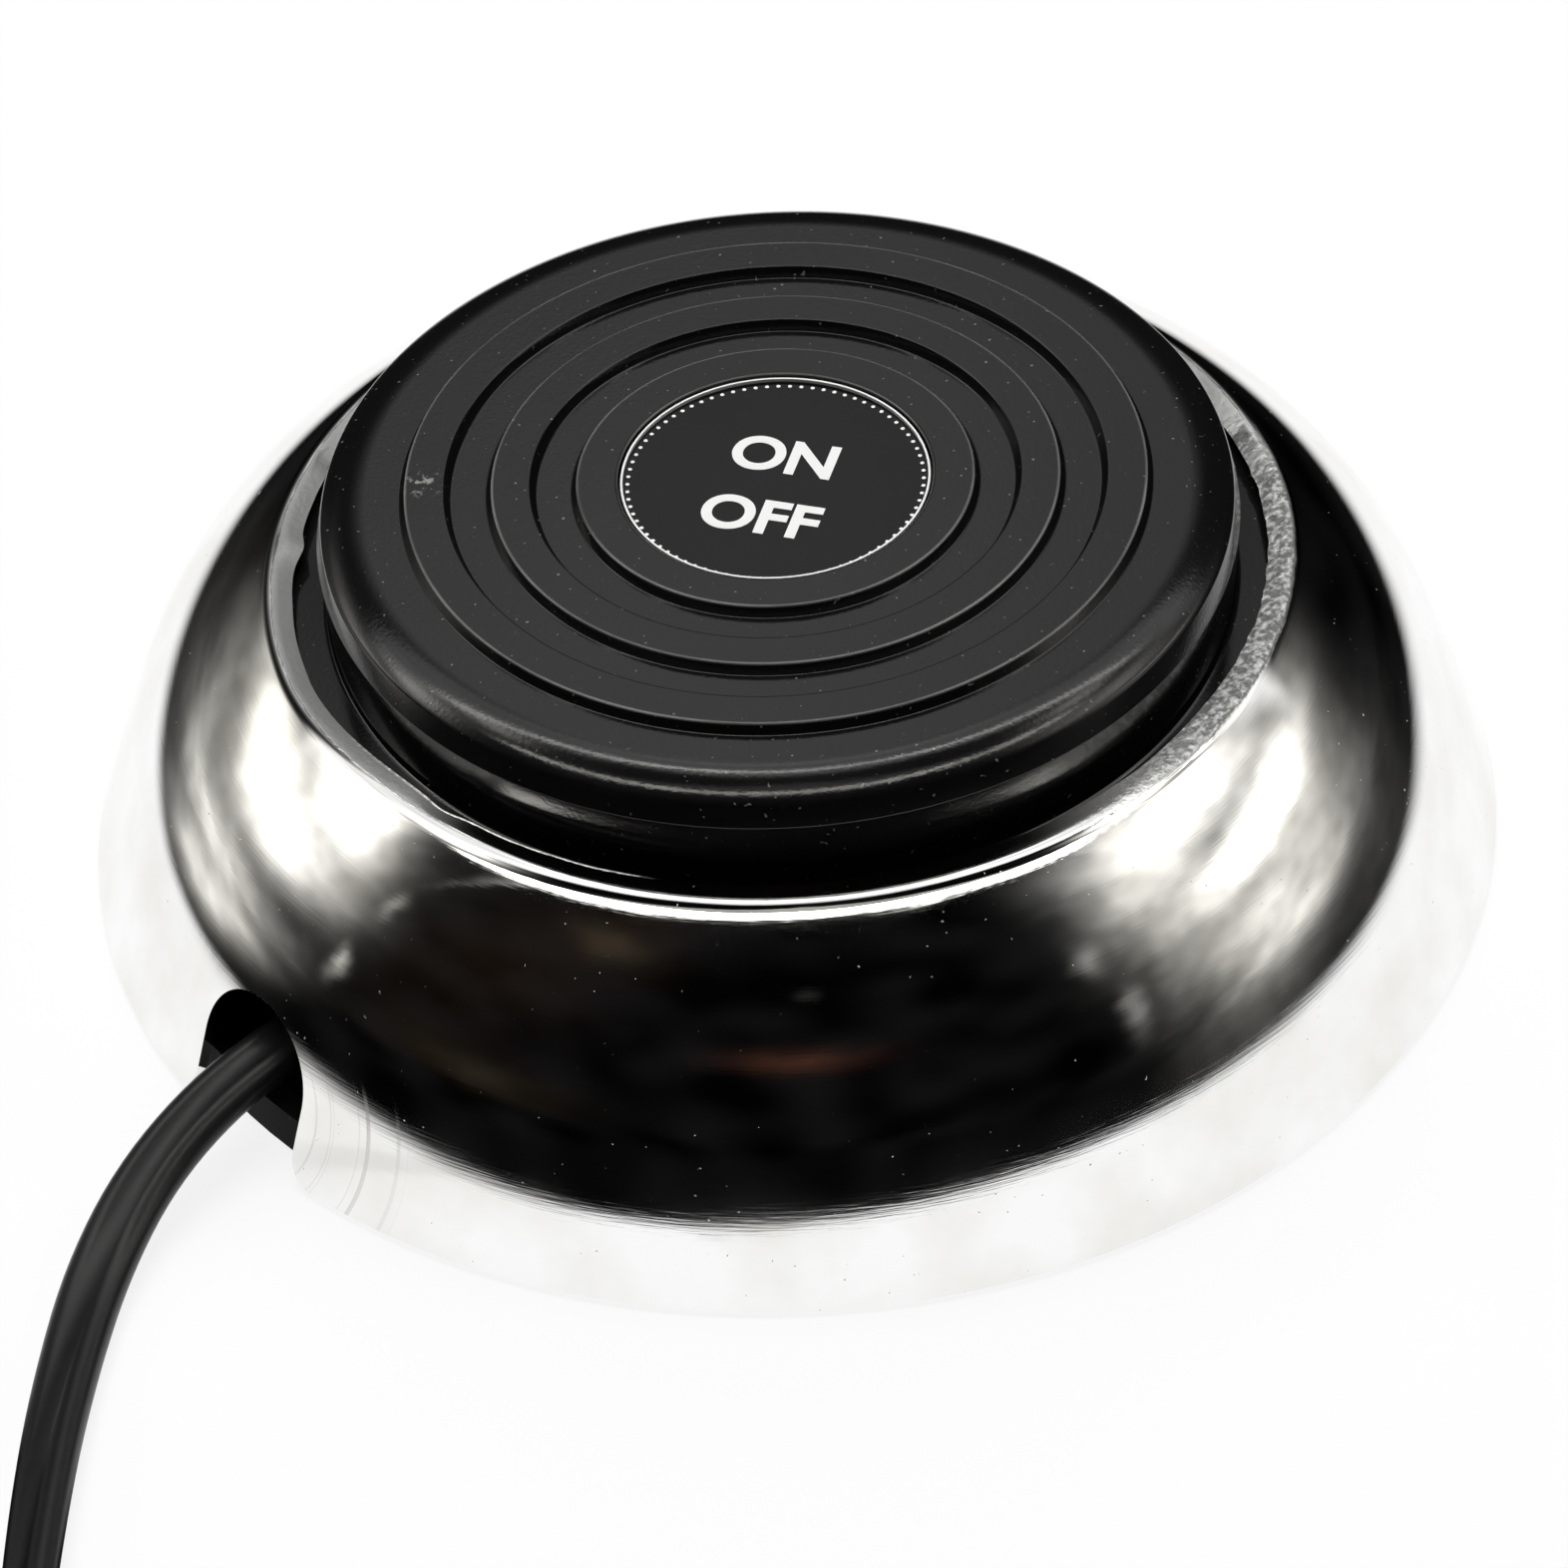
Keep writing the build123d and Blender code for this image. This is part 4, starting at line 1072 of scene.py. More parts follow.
@dataclass
class Pedal:
    """Moulded cap with raised rings, a flange below and ribs underneath."""

    top: float = 37.25 * MM
    radius: float = 37.45 * MM
    edge: float = 5.6 * MM
    edge_turn: float = 52.0
    edge_end: float = 0.74 * MM
    wall_draft: float = 12.0
    parting: float = 32.9 * MM
    wall_foot: float = 36.95 * MM
    step: float = 0.92 * MM
    draft: float = 0.42 * MM
    rings: tuple[float, ...] = (16.07 * MM, 19.85 * MM, 22.96 * MM, 26.81 * MM, 30.0 * MM)
    recess: float = 12.75 * MM
    recess_depth: float = 0.8 * MM
    flange_top: float = 26.29 * MM
    flange_radius: float = 42.4 * MM
    flange_wall: float = 1.8 * MM
    wall: float = 2.2 * MM
    under: float = 34.35 * MM
    boss: float = 8.6 * MM
    boss_under: float = 26.3 * MM
    socket: float = 4.55 * MM
    socket_top: float = 29.8 * MM
    ribs: int = 8
    rib_start: float = 13.0 * MM
    rib_size: Flat = (1.6 * MM, 3.0 * MM)
    ease: float = 0.13 * MM
    hold: float = 0.07 * MM
    # Depth and reach of the ring edges painted pale, as wear and as a painted edge highlight.
    rub_highlight_depth: float = 0.12 * MM
    rub_highlight_reach: float = 0.15 * MM
    columns: int = 540

    def outline(self) -> list[Flat]:
        """Outline from the top's middle round to the socket's middle, with eased corners."""
        low = self.top - self.step
        ease = self.ease
        turn, draft = math.radians(self.edge_turn), math.radians(self.wall_draft)
        gain = self.edge - self.edge_end
        fall = self.edge - gain * math.sin(turn) - self.edge_end * math.sin(draft)
        out = gain * math.cos(turn) + self.edge_end * math.cos(draft)
        start = self.radius - (low - fall - self.parting) * math.tan(draft) - out
        middle = (start + gain * math.cos(turn), low - self.edge + gain * math.sin(turn))
        corner = arc((start, low - self.edge), self.edge, 90, self.edge_turn, 14)
        corner += arc(middle, self.edge_end, self.edge_turn, self.wall_draft, 6)[1:]
        seat = self.top - self.recess_depth
        first, second_in, second, third_in, third = self.rings
        points = [
            (0.0, seat, 0.0), (self.recess, seat, 0.05 * MM), (self.recess, self.top, 0.22 * MM),
            (first, self.top, ease), (first + self.draft, low, ease),
            (second_in - self.draft, low, ease), (second_in, self.top, ease),
            (second, self.top, ease), (second + self.draft, low, ease),
            (third_in - self.draft, low, ease), (third_in, self.top, ease),
            (third, self.top, ease), (third + self.draft, low, ease),
            (start, low, 0.0),
        ]
        top = rounded(points, margin=self.hold)
        flange_under = self.flange_top - self.flange_wall
        inner = self.radius - self.wall
        lower = [
            (self.radius, self.parting, 0.4 * MM), (self.wall_foot, self.flange_top, 0.5 * MM),
            (self.flange_radius, self.flange_top, 0.3 * MM),
            (self.flange_radius, flange_under, 0.3 * MM), (inner, flange_under, 0.3 * MM),
            (inner, self.under, 0.6 * MM), (self.boss, self.under, 0.6 * MM),
            (self.boss, self.boss_under, 0.3 * MM), (self.socket, self.boss_under, 0.2 * MM),
            (self.socket, self.socket_top, 0.0), (0.0, self.socket_top, 0.0),
        ]
        return top + corner[1:] + rounded([(*corner[-1], 0.0), *lower])[1:]

    def mesh(self) -> bpy.types.Mesh:
        """Turns the outline, marks its worn, painted-highlight edges and adds the ribs underneath."""
        mesh = Lathe(self.columns).mesh("pedal_cap", self.outline())
        edges = (self.recess, *self.rings[::2])
        work = bmesh.new()
        work.from_mesh(mesh)
        # The wear layer paints the rings' top edges pale: partly wear, partly a painted edge highlight.
        layer = work.verts.layers.float.new("wear")
        for vertex in work.verts:
            radius = math.hypot(vertex.co.x, vertex.co.y)
            near = min(abs(radius - edge) for edge in edges)
            if vertex.co.z > self.top - self.rub_highlight_depth:
                vertex[layer] = max(0.0, 1.0 - near / self.rub_highlight_reach)
        inner = self.radius - self.wall * 0.5
        for index in range(self.ribs):
            turn = Matrix.Rotation(2 * math.pi * index / self.ribs, 4, "Z")
            size = (inner - self.rib_start, *self.rib_size)
            place = Matrix.Translation((self.rib_start + size[0] / 2, 0.0, self.under - size[2] / 2))
            bmesh.ops.create_cube(work, size=1.0, matrix=turn @ place @ Matrix.Diagonal((*size, 1.0)))
        work.to_mesh(mesh)
        work.free()
        return mesh

    def build(self) -> None:
        """Builds the cap and dresses it."""
        new_piece("pedal", smooth(self.mesh(), 40), (PEDAL_ABS,), Body.PEDAL, Slot.PEDAL, ["foot_pedal"])


@dataclass
class Label:
    """Printed disc in the pedal's middle, with a dotted border and plain words."""

    radius: float = 12.65 * MM
    level: float = 36.45 * MM
    wall: float = 0.3 * MM
    ring: float = 12.45 * MM
    ring_width: float = 0.17 * MM
    ring_height: float = 0.3 * MM
    dots: int = 80
    dot_place: float = 11.98 * MM
    dot_radius: float = 0.17 * MM
    print_height: float = 0.03 * MM
    print_shift: Flat = (-0.14 * MM, -0.18 * MM)
    turn: float = -55.0
    edge_ease: float = 0.03 * MM
    columns: int = 240
    dot_sides: int = 12
    bold: float = 0.16 * MM
    weld: float = 0.002 * MM
    # Each word with its place and its letters' size, in millimetres.
    words: tuple[tuple[str, float, float, float], ...] = (("ON", 0.0, 1.0, 5.6), ("OFF", 0.0, -6.6, 5.6))

    def top(self) -> float:
        """Height of the disc's face."""
        return self.level + self.wall

    def disc(self) -> None:
        """Builds the disc with its border line."""
        face = self.top()
        line = (self.ring - self.ring_width / 2, self.ring + self.ring_width / 2)
        raised = face + self.ring_height
        outline = [
            (0.0, face), (line[0], face), (line[0], raised), (line[1], raised), (line[1], face),
            (self.radius - self.edge_ease, face), (self.radius, face - self.edge_ease),
            (self.radius, self.level), (0.0, self.level),
        ]
        mesh = Lathe(self.columns).mesh("label_disc", outline, lambda row: 1 if 1 <= row <= 3 else 0)
        new_piece("label", smooth(mesh, 30), (FOIL, PRINT), Body.PEDAL, Slot.LABEL, ["pedal_label"])

    def border(self) -> None:
        """Builds the dots of the border with a node tree that repeats one dot round a circle."""
        shape = NodeShape(
            "dotted_border", Circle="Float", Dot="Float", Height="Float", Count="Int", Finish="Material"
        )
        tree, given = shape.tree, shape.given.outputs
        circle = add_node(
            tree, "GeometryNodeMeshCircle", {"Vertices": given["Count"], "Radius": given["Circle"]}
        )
        dot = add_node(
            tree,
            "GeometryNodeMeshCylinder",
            {"Vertices": self.dot_sides, "Radius": given["Dot"], "Depth": given["Height"]},
        )
        spots = add_node(
            tree,
            "GeometryNodeInstanceOnPoints",
            {"Points": circle.outputs["Mesh"], "Instance": dot.outputs["Mesh"]},
        )
        shape.end(spots.outputs["Instances"])
        mesh = shape.mesh(
            "label_border", Circle=self.dot_place, Dot=self.dot_radius, Height=self.print_height,
            Count=self.dots, Finish=PRINT.material(),
        )
        mesh.transform(Matrix.Translation((*self.print_shift, self.top() + self.print_height / 2)))
        new_piece("label_border", mesh, (), Body.PEDAL, Slot.LABEL)

    def lettering(self) -> None:
        """Builds the two words as raised print."""
        whole = bmesh.new()
        for text, x, y, size in self.words:
            curve = bpy.data.curves.new(f"word_{text}", "FONT")
            curve.body, curve.size, curve.align_x = text, size * MM, "CENTER"
            curve.offset = self.bold
            curve.extrude = self.print_height / 2
            holder = bpy.data.objects.new(f"word_{text}", curve)
            bpy.context.scene.collection.objects.link(holder)
            mesh = plain_mesh(f"word_{text}", holder)
            mesh.transform(Matrix.Translation((x * MM, y * MM, self.top() + self.print_height / 2)))
            whole.from_mesh(mesh)
        bmesh.ops.remove_doubles(whole, verts=whole.verts, dist=self.weld)
        whole.transform(Matrix.Rotation(math.radians(self.turn), 4, "Z"))
        mesh = bpy.data.meshes.new("label_words")
        whole.to_mesh(mesh)
        whole.free()
        new_piece("label_words", mesh, (PRINT,), Body.PEDAL, Slot.LABEL)

    def build(self) -> None:
        """Builds the disc, its border and its words."""
        self.disc()
        self.border()
        self.lettering()


@dataclass
class Spring:
    """Helical spring, built at rest; the real one shortens as the pedal goes down."""

    name: str
    node: str
    radius: float
    wire: float
    turns: float
    low: float
    high: float
    travel: float = 4.0 * MM
    steps_per_turn: int = 48
    sides: int = 14

    def build(self) -> None:
        """Builds the spring with a node tree that carries a round wire along a helix."""
        shape = NodeShape(
            self.name, Radius="Float", Wire="Float", Turns="Float", Rise="Float", Finish="Material"
        )
        tree, given = shape.tree, shape.given.outputs
        helix = add_node(
            tree,
            "GeometryNodeCurveSpiral",
            {"Resolution": self.steps_per_turn, "Rotations": given["Turns"], "Start Radius": given["Radius"],
             "End Radius": given["Radius"], "Height": given["Rise"]},
        )
        round_wire = add_node(
            tree, "GeometryNodeCurvePrimitiveCircle", {"Resolution": self.sides, "Radius": given["Wire"]}
        )
        wire = add_node(
            tree,
            "GeometryNodeCurveToMesh",
            {"Curve": helix.outputs["Curve"], "Profile Curve": round_wire.outputs["Curve"],
             "Fill Caps": True},
        )
        shape.end(wire.outputs["Mesh"])
        mesh = shape.mesh(
            self.name, Radius=self.radius, Wire=self.wire / 2, Turns=self.turns,
            Rise=self.high - self.low - self.wire, Finish=ZINC.material(),
        )
        mesh.transform(Matrix.Translation((0, 0, self.low + self.wire / 2)))
        outward(mesh)
        piece = new_piece(self.name, smooth(mesh, 60), (), Body.BASE, Slot.STEEL, [self.node])
        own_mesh(piece)


@dataclass
class Cord:
    """Flat two-core cord: out of the notch, along the floor, into a coil and to its plug."""

    width: float = 5.3 * MM
    thickness: float = 2.7 * MM
    core_reach: float = 118.0
    core_steps: int = 20
    # The route's points and the coil's sizes are in millimetres.
    lead: tuple[Point, ...] = (
        (-34.22, 0.0, 7.8), (-42.82, 0.0, 7.8), (-51.6, -0.06, 7.8), (-60.0, -0.3, 6.7), (-68.3, -1.8, 4.2),
        (-76.2, -5.9, 2.1), (-84.2, -12.8, 1.75), (-92.5, -21.2, 2.05), (-102.5, -32.6, 2.35),
        (-117.2, -50.0, 2.55),
    )
    tail: tuple[Point, ...] = ((-98.0, -127.4, 8.6), (-88.6, -127.5, 9.0), (-79.2, -128.0, 9.0))
    coil_centre: Flat = (-104.0, -89.5)
    coil_outer: float = 37.0
    coil_pitch: float = 2.9
    coil_low: float = 3.75
    coil_high: float = 9.25
    start_angle: float = 140.0
    turns: float = 8.347
    climb_turns: float = 0.5
    steps_per_turn: int = 16
    spline_steps: int = 6
    flat_points: int = 5
    roll_points: int = 6

    def coil(self) -> list[Point]:
        """Points of the turns: inwards along the floor, then outwards on top of those."""
        count = round(self.turns * self.steps_per_turn)
        points = []
        for index in range(count + 1):
            turn = self.turns * index / count
            inward = min(turn, self.turns - turn)
            radius = self.coil_outer - self.coil_pitch * inward
            climb = (turn - self.turns / 2 + self.climb_turns / 2) / self.climb_turns
            rise = min(max(climb, 0.0), 1.0)
            angle = math.radians(self.start_angle + 360 * turn)
            points.append((
                self.coil_centre[0] + radius * math.cos(angle),
                self.coil_centre[1] + radius * math.sin(angle),
                self.coil_low + (self.coil_high - self.coil_low) * rise,
            ))
        return points

    def route(self) -> bpy.types.Object:
        """Makes the cord's line as one smooth spline, twisted on edge before the coil."""
        points = [*self.lead, *self.coil(), *self.tail]
        curve = bpy.data.curves.new("cord_route", "CURVE")
        curve.dimensions = "3D"
        curve.resolution_u = self.spline_steps
        spline = curve.splines.new("NURBS")
        spline.points.add(len(points) - 1)
        for index, (place, control) in enumerate(zip(points, spline.points)):
            control.co = (place[0] * MM, place[1] * MM, place[2] * MM, 1.0)
            share = min(max((index - self.flat_points) / self.roll_points, 0.0), 1.0)
            control.tilt = math.radians(90 * share)
        spline.order_u = 3
        spline.use_endpoint_u = True
        holder = bpy.data.objects.new("cord_route", curve)
        bpy.context.scene.collection.objects.link(holder)
        return holder

    def section(self) -> bpy.types.Object:
        """Makes the outline of the two cores side by side."""
        radius = self.thickness / 2
        middle = self.width / 2 - radius
        right = arc((middle, 0.0), radius, -self.core_reach, self.core_reach, self.core_steps)
        left = [(-x, -y) for x, y in right]
        curve = bpy.data.curves.new("cord_section", "CURVE")
        curve.dimensions = "2D"
        spline = curve.splines.new("POLY")
        outline = right + left
        spline.points.add(len(outline) - 1)
        for (x, y), control in zip(outline, spline.points):
            control.co = (x, y, 0.0, 1.0)
        spline.use_cyclic_u = True
        holder = bpy.data.objects.new("cord_section", curve)
        bpy.context.scene.collection.objects.link(holder)
        return holder

    def build(self, plug_pieces: Sequence[bpy.types.Object]) -> None:
        """Carries the section along the route with a node tree.

        Args:
            plug_pieces: What is on the cord's far end; not used.
        """
        route = self.route()
        depsgraph = bpy.context.evaluated_depsgraph_get()
        line = bpy.data.meshes.new_from_object(route.evaluated_get(depsgraph), depsgraph=depsgraph)
        path = [tuple(v.co) for v in line.vertices]
        bpy.data.meshes.remove(line)
        section = self.section()
        shape = NodeShape("flat_cord", Geometry="Geometry", Section="Object", Finish="Material")
        tree, given = shape.tree, shape.given.outputs
        level = add_node(tree, "GeometryNodeSetCurveNormal", {"Curve": given["Geometry"]}, mode="Z_UP")
        cores = add_node(tree, "GeometryNodeObjectInfo", {"Object": given["Section"]})
        tube = add_node(
            tree,
            "GeometryNodeCurveToMesh",
            {"Curve": level.outputs["Curve"], "Profile Curve": cores.outputs["Geometry"], "Fill Caps": True},
        )
        shape.end(tube.outputs["Mesh"])
        mesh = shape.mesh("cord", route, Section=section, Finish=VINYL.material())
        bpy.data.objects.remove(section)
        outward(mesh)
        stands_for = ["cord_lead", "cord_coil", "cord_tail"]
        cord = new_piece("cord", smooth(mesh, 50), (), Body.BASE, Slot.CORD, stands_for)
        cord.visible_glossy = False
        length = sum(math.dist(a, b) for a, b in zip(path, path[1:]))
        LOG.info("cord length %.3f m", length)
        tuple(path[0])


@dataclass
class Works:
    """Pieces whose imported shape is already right; they only get their finishes."""

    finishes: dict[str, Finish] = field(default_factory=lambda: {
        "shell_lugs": ZINC, "base_plate": BASE_ABS, "base_screws": ZINC, "rubber_feet": RUBBER,
        "switch_base": PHENOLIC, "switch_cover": ZINC, "switch_plunger": NYLON, "ratchet_rotor": NYLON,
        "contact_bridge": BRASS, "fixed_contact_left": BRASS, "fixed_contact_right": BRASS,
        "terminal_screws": BRASS, "switch_screws": ZINC, "cord_clamp": ZINC, "clamp_screws": ZINC,
        "core_left": VINYL, "core_right": VINYL, "coil_tie": PLUG_VINYL, "plug_body": PLUG_VINYL,
        "plug_contact_left": BRASS, "plug_contact_right": BRASS,
    })

    def build(self, nodes: dict[str, bpy.types.Object]) -> None:
        """Gives each node its finish.

        Args:
            nodes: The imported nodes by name.
        """
        for name, finish in self.finishes.items():
            mesh = nodes[name].data
            mesh.materials.clear()
            mesh.materials.append(finish.material())
            LOG.info("node %s: %s", name, finish.name)


@dataclass(frozen=True)
class Glow:
    """Soft bright field of the room, seen only in reflections.

    Args:
        heading: Degrees to the right of the camera, seen from the object.
        rise: Degrees above the floor.
        width: Degrees sideways over which it fades.
        height: Degrees upwards over which it fades.
        strength: Brightness; 1 is white.
        slope: Degrees that it climbs for each degree sideways.
        colour: Its colour.
    """

    heading: float
    rise: float
    width: float
    height: float
    strength: float
    slope: float = 0.0
    colour: str = "#fffdf6"

    def at(self, heading: float, rise: float) -> float:
        """Brightness in a direction.

        Args:
            heading: Degrees to the right of the camera.
            rise: Degrees above the floor.

        Returns:
            The brightness.
        """
        side = wrapped(heading - self.heading)
        up = rise - self.rise - self.slope * side
        return self.strength * math.exp(-((side / self.width) ** 2) - (up / self.height) ** 2)


@dataclass(frozen=True)
class Tube(Glow):
    """Straight lamp across the ceiling, sinking to its sides; its height and width are its half sizes."""

    soft: float = 1.5
    ends: float = 12.0

    def at(self, heading: float, rise: float) -> float:
        """Brightness in a direction.

        Args:
            heading: Degrees to the right of the camera.
            rise: Degrees above the floor.

        Returns:
            The brightness.
        """
        side = abs(wrapped(heading - self.heading))
        if side >= self.width:
            return 0.0
        middle = math.degrees(math.atan(math.tan(math.radians(self.rise)) * math.cos(math.radians(side))))
        share = eased((self.width - side) / self.ends) * eased((self.height - abs(rise - middle)) / self.soft)
        return self.strength * share


@dataclass(frozen=True)
class Ring(Tube):
    """Lamp bent round the middle of the ceiling; its height is its half size over the ceiling's height."""

    middle: float = -0.6
    lowest: float = 30.0

    def at(self, heading: float, rise: float) -> float:
        """Brightness in a direction.

        Args:
            heading: Degrees to the right of the camera.
            rise: Degrees above the floor.

        Returns:
            The brightness.
        """
        side = abs(wrapped(heading - self.heading))
        if side >= self.width or not self.lowest <= rise < 90:
            return 0.0
        away = 1 / math.tan(math.radians(rise))
        front, right = away * math.cos(math.radians(side)), away * math.sin(math.radians(side))
        radius = 1 / math.tan(math.radians(self.rise)) - self.middle
        off = abs(math.hypot(front - self.middle, right) - radius)
        return self.strength * eased((self.width - side) / self.ends) * eased((self.height - off) / self.soft)


@dataclass
class Studio:
    """Pale floor, soft light, the room in the reflections and the camera."""

    camera_place: Point = (-0.313793, -0.414909, 0.475844)
    camera_turn: Point = (47.70988, 2.60385, -39.37581)
    lens: float = 193.456
    camera_heading: float = -127.1
    dimness: float = 0.0028
    paper_glow: float = 0.85
    lamp_distance: float = 1.2
    # Each lamp with its heading and rise in degrees, its size in metres and its watts.
    lamps: tuple[tuple[str, float, float, float, float], ...] = (
        ("lamp_above", 180.0, 80.0, 0.8, 11.0), ("lamp_behind", 180.0, 45.0, 0.6, 3.6),
        ("lamp_left", -105.0, 35.0, 0.4, 1.5), ("lamp_right", 90.0, 40.0, 0.4, 1.5),
    )
    # The dome shows where these lights are; most were refined by a fit to how bright it is in the photograph.
    windows: tuple[Glow, ...] = (
        Glow(-107, 40, 11, 7.4, 4.6, -0.29), Glow(-114, 22, 16, 7, 2.3, -0.11),
        Glow(-117, 10, 25, 25, 0.08, 0.8), Glow(-110, -2, 14, 5.7, 0.83, 0.15),
        Glow(-111, -13, 10.7, 4.2, 0.92, 0.19), Glow(-102, 17, 12, 6.5, 1.0, 0.38),
        Glow(-81.5, 32, 1.5, 3.7, 0.32, -0.8), Glow(-81, 10, 1.2, 4.5, 0.48, 0.8),
        Glow(-124, 2, 12.6, 9.2, 0.22, -0.78), Glow(-56, 43, 22, 27, 0.008, 0.7, "#ffd2ae"),
        Glow(-2, 26.5, 10, 3.6, 0.055, 0.0, "#e8936f"), Glow(-46, 56, 10, 5, 0.032, 0.0, "#ffe0b4"),
        Glow(-53, 4, 14, 6, 0.014, 0.0, "#ffdcae"), Glow(0, 47, 2, 1.6, 0.02),
        Glow(92, 45.5, 18, 8, 2.1, -0.18), Glow(90, 25, 18, 5, 2.5, 0.03),
        Glow(92, 14, 17, 17.7, 0.64, 0.69), Glow(103, 2, 16, 21.6, 0.06, -0.8),
        Glow(52, 32.5, 2.4, 4.2, 0.18, 0.44), Glow(53.4, 12.4, 1.7, 6.4, 0.22, 0.04),
        Glow(62.6, 15.7, 5.5, 10.6, 0.16, 0.8), Glow(71.5, 38, 10.8, 8.4, 1.0, 0.07),
        Glow(76.5, 8, 9.5, 10.6, 0.63, -0.47), Glow(89, -2, 10.9, 5.1, 0.37, 0.09),
        Glow(110, 59, 10, 4, 3.5), Glow(-116, 59, 12, 4, 3.0),
        Glow(180, 45, 16, 10, 0.8, 0.0, "#ffffff"), Tube(180, 64, 70, 16, 1.0, 0.0, "#ffffff", soft=6.0),
        Tube(0, 84, 85, 8, 0.4, soft=3.0), Tube(180, 68, 66, 2.6, 6.0),
        Ring(0, 74, 100, 0.055, 6.0, soft=0.025),
    )
    # Headings in degrees, then where the dark table starts and where it covers all, in millimetres.
    table_edge: tuple[Point, ...] = (
        (-180, 125, 200), (-145, 113, 185), (-124, 95, 135), (-104, 82, 96), (-82, 74, 83), (-52, 84, 93),
        (-31, 89, 97), (-11, 101, 108), (11, 107, 114), (24, 107, 112), (43, 96, 101), (62, 83, 88),
        (82, 73, 84), (108, 87, 124), (137, 110, 185), (180, 125, 200),
    )
    # How the dome's wall sees a spot of the table from 1 m: degrees below level and degrees sideways.
    gleam_drop: float = 1.78
    gleam_shift: float = 2.5

    def aim(self, heading: float, rise: float) -> Vector:
        """Direction from the object for a heading to the camera's right and a rise, in degrees."""
        turn, up = math.radians(self.camera_heading + heading), math.radians(rise)
        return Vector((math.cos(turn) * math.cos(up), math.sin(turn) * math.cos(up), math.sin(up)))

    def mirrored(
        self,
        name: str,
        points: Sequence[Vector],
        faces: Sequence[tuple[int, ...]],
        glows: Sequence[Sequence[float]],
        covers: Sequence[float] = (),
    ) -> None:
        """Makes a glowing stage mesh that only mirrored rays see.

        Args:
            name: Name of the mesh.
            points: Its vertices.
            faces: Its faces.
            glows: Linear colour of each vertex.
            covers: How much each vertex hides of what is behind it, unless all of them hide it.
        """
        mesh = bpy.data.meshes.new(name)
        mesh.from_pydata(points, [], faces)
        paint = mesh.attributes.new("glow", "FLOAT_COLOR", "POINT")
        paint.data.foreach_set("color", [c for glow in glows for c in glow])
        if covers:
            mesh.attributes.new("cover", "FLOAT", "POINT").data.foreach_set("value", covers)
        mesh.materials.append(self.painted_glow(f"{name}_light", bool(covers)))
        thing = bpy.data.objects.new(name, mesh)
        bpy.context.scene.collection.objects.link(thing)
        thing.visible_camera = thing.visible_diffuse = thing.visible_shadow = False
        thing.visible_transmission = thing.visible_volume_scatter = False

    def painted_glow(self, name: str, see_through: bool) -> bpy.types.Material:
        """Glow that is painted on a stage mesh.

        Args:
            name: Name of the material.
            see_through: Whether the mesh also says how much it covers.

        Returns:
            The material.
        """
        made = bpy.data.materials.new(name)
        made.use_nodes = True
        tree = made.node_tree
        tree.nodes.clear()
        paint = add_node(tree, "ShaderNodeAttribute", attribute_name="glow").outputs["Color"]
        surface = add_node(tree, "ShaderNodeEmission", {"Color": paint})
        if see_through:
            cover = add_node(tree, "ShaderNodeAttribute", attribute_name="cover").outputs["Fac"]
            clear = add_node(tree, "ShaderNodeBsdfTransparent")
            surface = add_node(
                tree, "ShaderNodeMixShader", {0: cover, 1: clear.outputs[0], 2: surface.outputs[0]}
            )
        add_node(tree, "ShaderNodeOutputMaterial", {"Surface": surface.outputs[0]})
        return made

    def light_at(self, heading: float, rise: float) -> tuple[float, float, float, float]:
        """Colour of the room in a direction.

        Args:
            heading: Degrees to the right of the camera.
            rise: Degrees above the floor.

        Returns:
            Linear red, green, blue and an alpha of 1.
        """
        way = self.aim(heading, rise)
        bend = 2.4 * noise.noise(way * 5.0) + 1.0 * noise.noise(way * 17.0)
        dim = self.dimness * max(0.25, 1.0 + 1.6 * noise.noise(way * 6.0 + Vector((7, 1, 3))))
        patch = 1.0 + 0.3 * noise.noise(way * 9.0) + 0.2 * noise.noise(way * 21.0)
        total = [dim, dim, dim * 1.1]
        for window in self.windows:
            shine = window.at(heading + bend, rise + 0.6 * bend) * patch
            if shine > 1e-4:
                total = [t + shine * c for t, c in zip(total, linear(window.colour))]
        return (total[0], total[1], total[2], 1.0)

    def room(self) -> None:
        """Hangs a dim room with windows and ceiling lamps round the object, for the chrome to mirror."""
        points, glows, faces = [], [], []
        columns, rows, low, size = 360, 96, -2, 2.5
        for row in range(rows):
            rise = low + row * (90 - low) / rows
            for column in range(columns):
                points.append(self.aim(column - 180, rise) * size)
                glows.append(self.light_at(column - 180, rise))
        points.append(Vector((0, 0, size)))
        glows.append(self.light_at(0, 90))
        for column in range(columns):
            after = (column + 1) % columns
            for row in range(rows - 1):
                a, b = row * columns, (row + 1) * columns
                faces.append((a + column, a + after, b + after, b + column))
            faces.append(((rows - 1) * columns + column, (rows - 1) * columns + after, len(points) - 1))
        self.mirrored("room", points, faces, glows)

    def edge_at(self, heading: float) -> Flat:
        """Distances over which the dark table takes over from the pale sheet.

        Args:
            heading: Degrees to the right of the camera.

        Returns:
            Where it starts and where it covers all, in metres.
        """
        near = far = 0.0
        offsets = range(-12, 13, 3)
        for offset in offsets:
            way = wrapped(heading + offset)
            a, b = next(pair for pair in zip(self.table_edge, self.table_edge[1:]) if way <= pair[1][0])
            share = (way - a[0]) / (b[0] - a[0])
            near += a[1] + (b[1] - a[1]) * share
            far += a[2] + (b[2] - a[2]) * share
        return near * MM / len(offsets), far * MM / len(offsets)

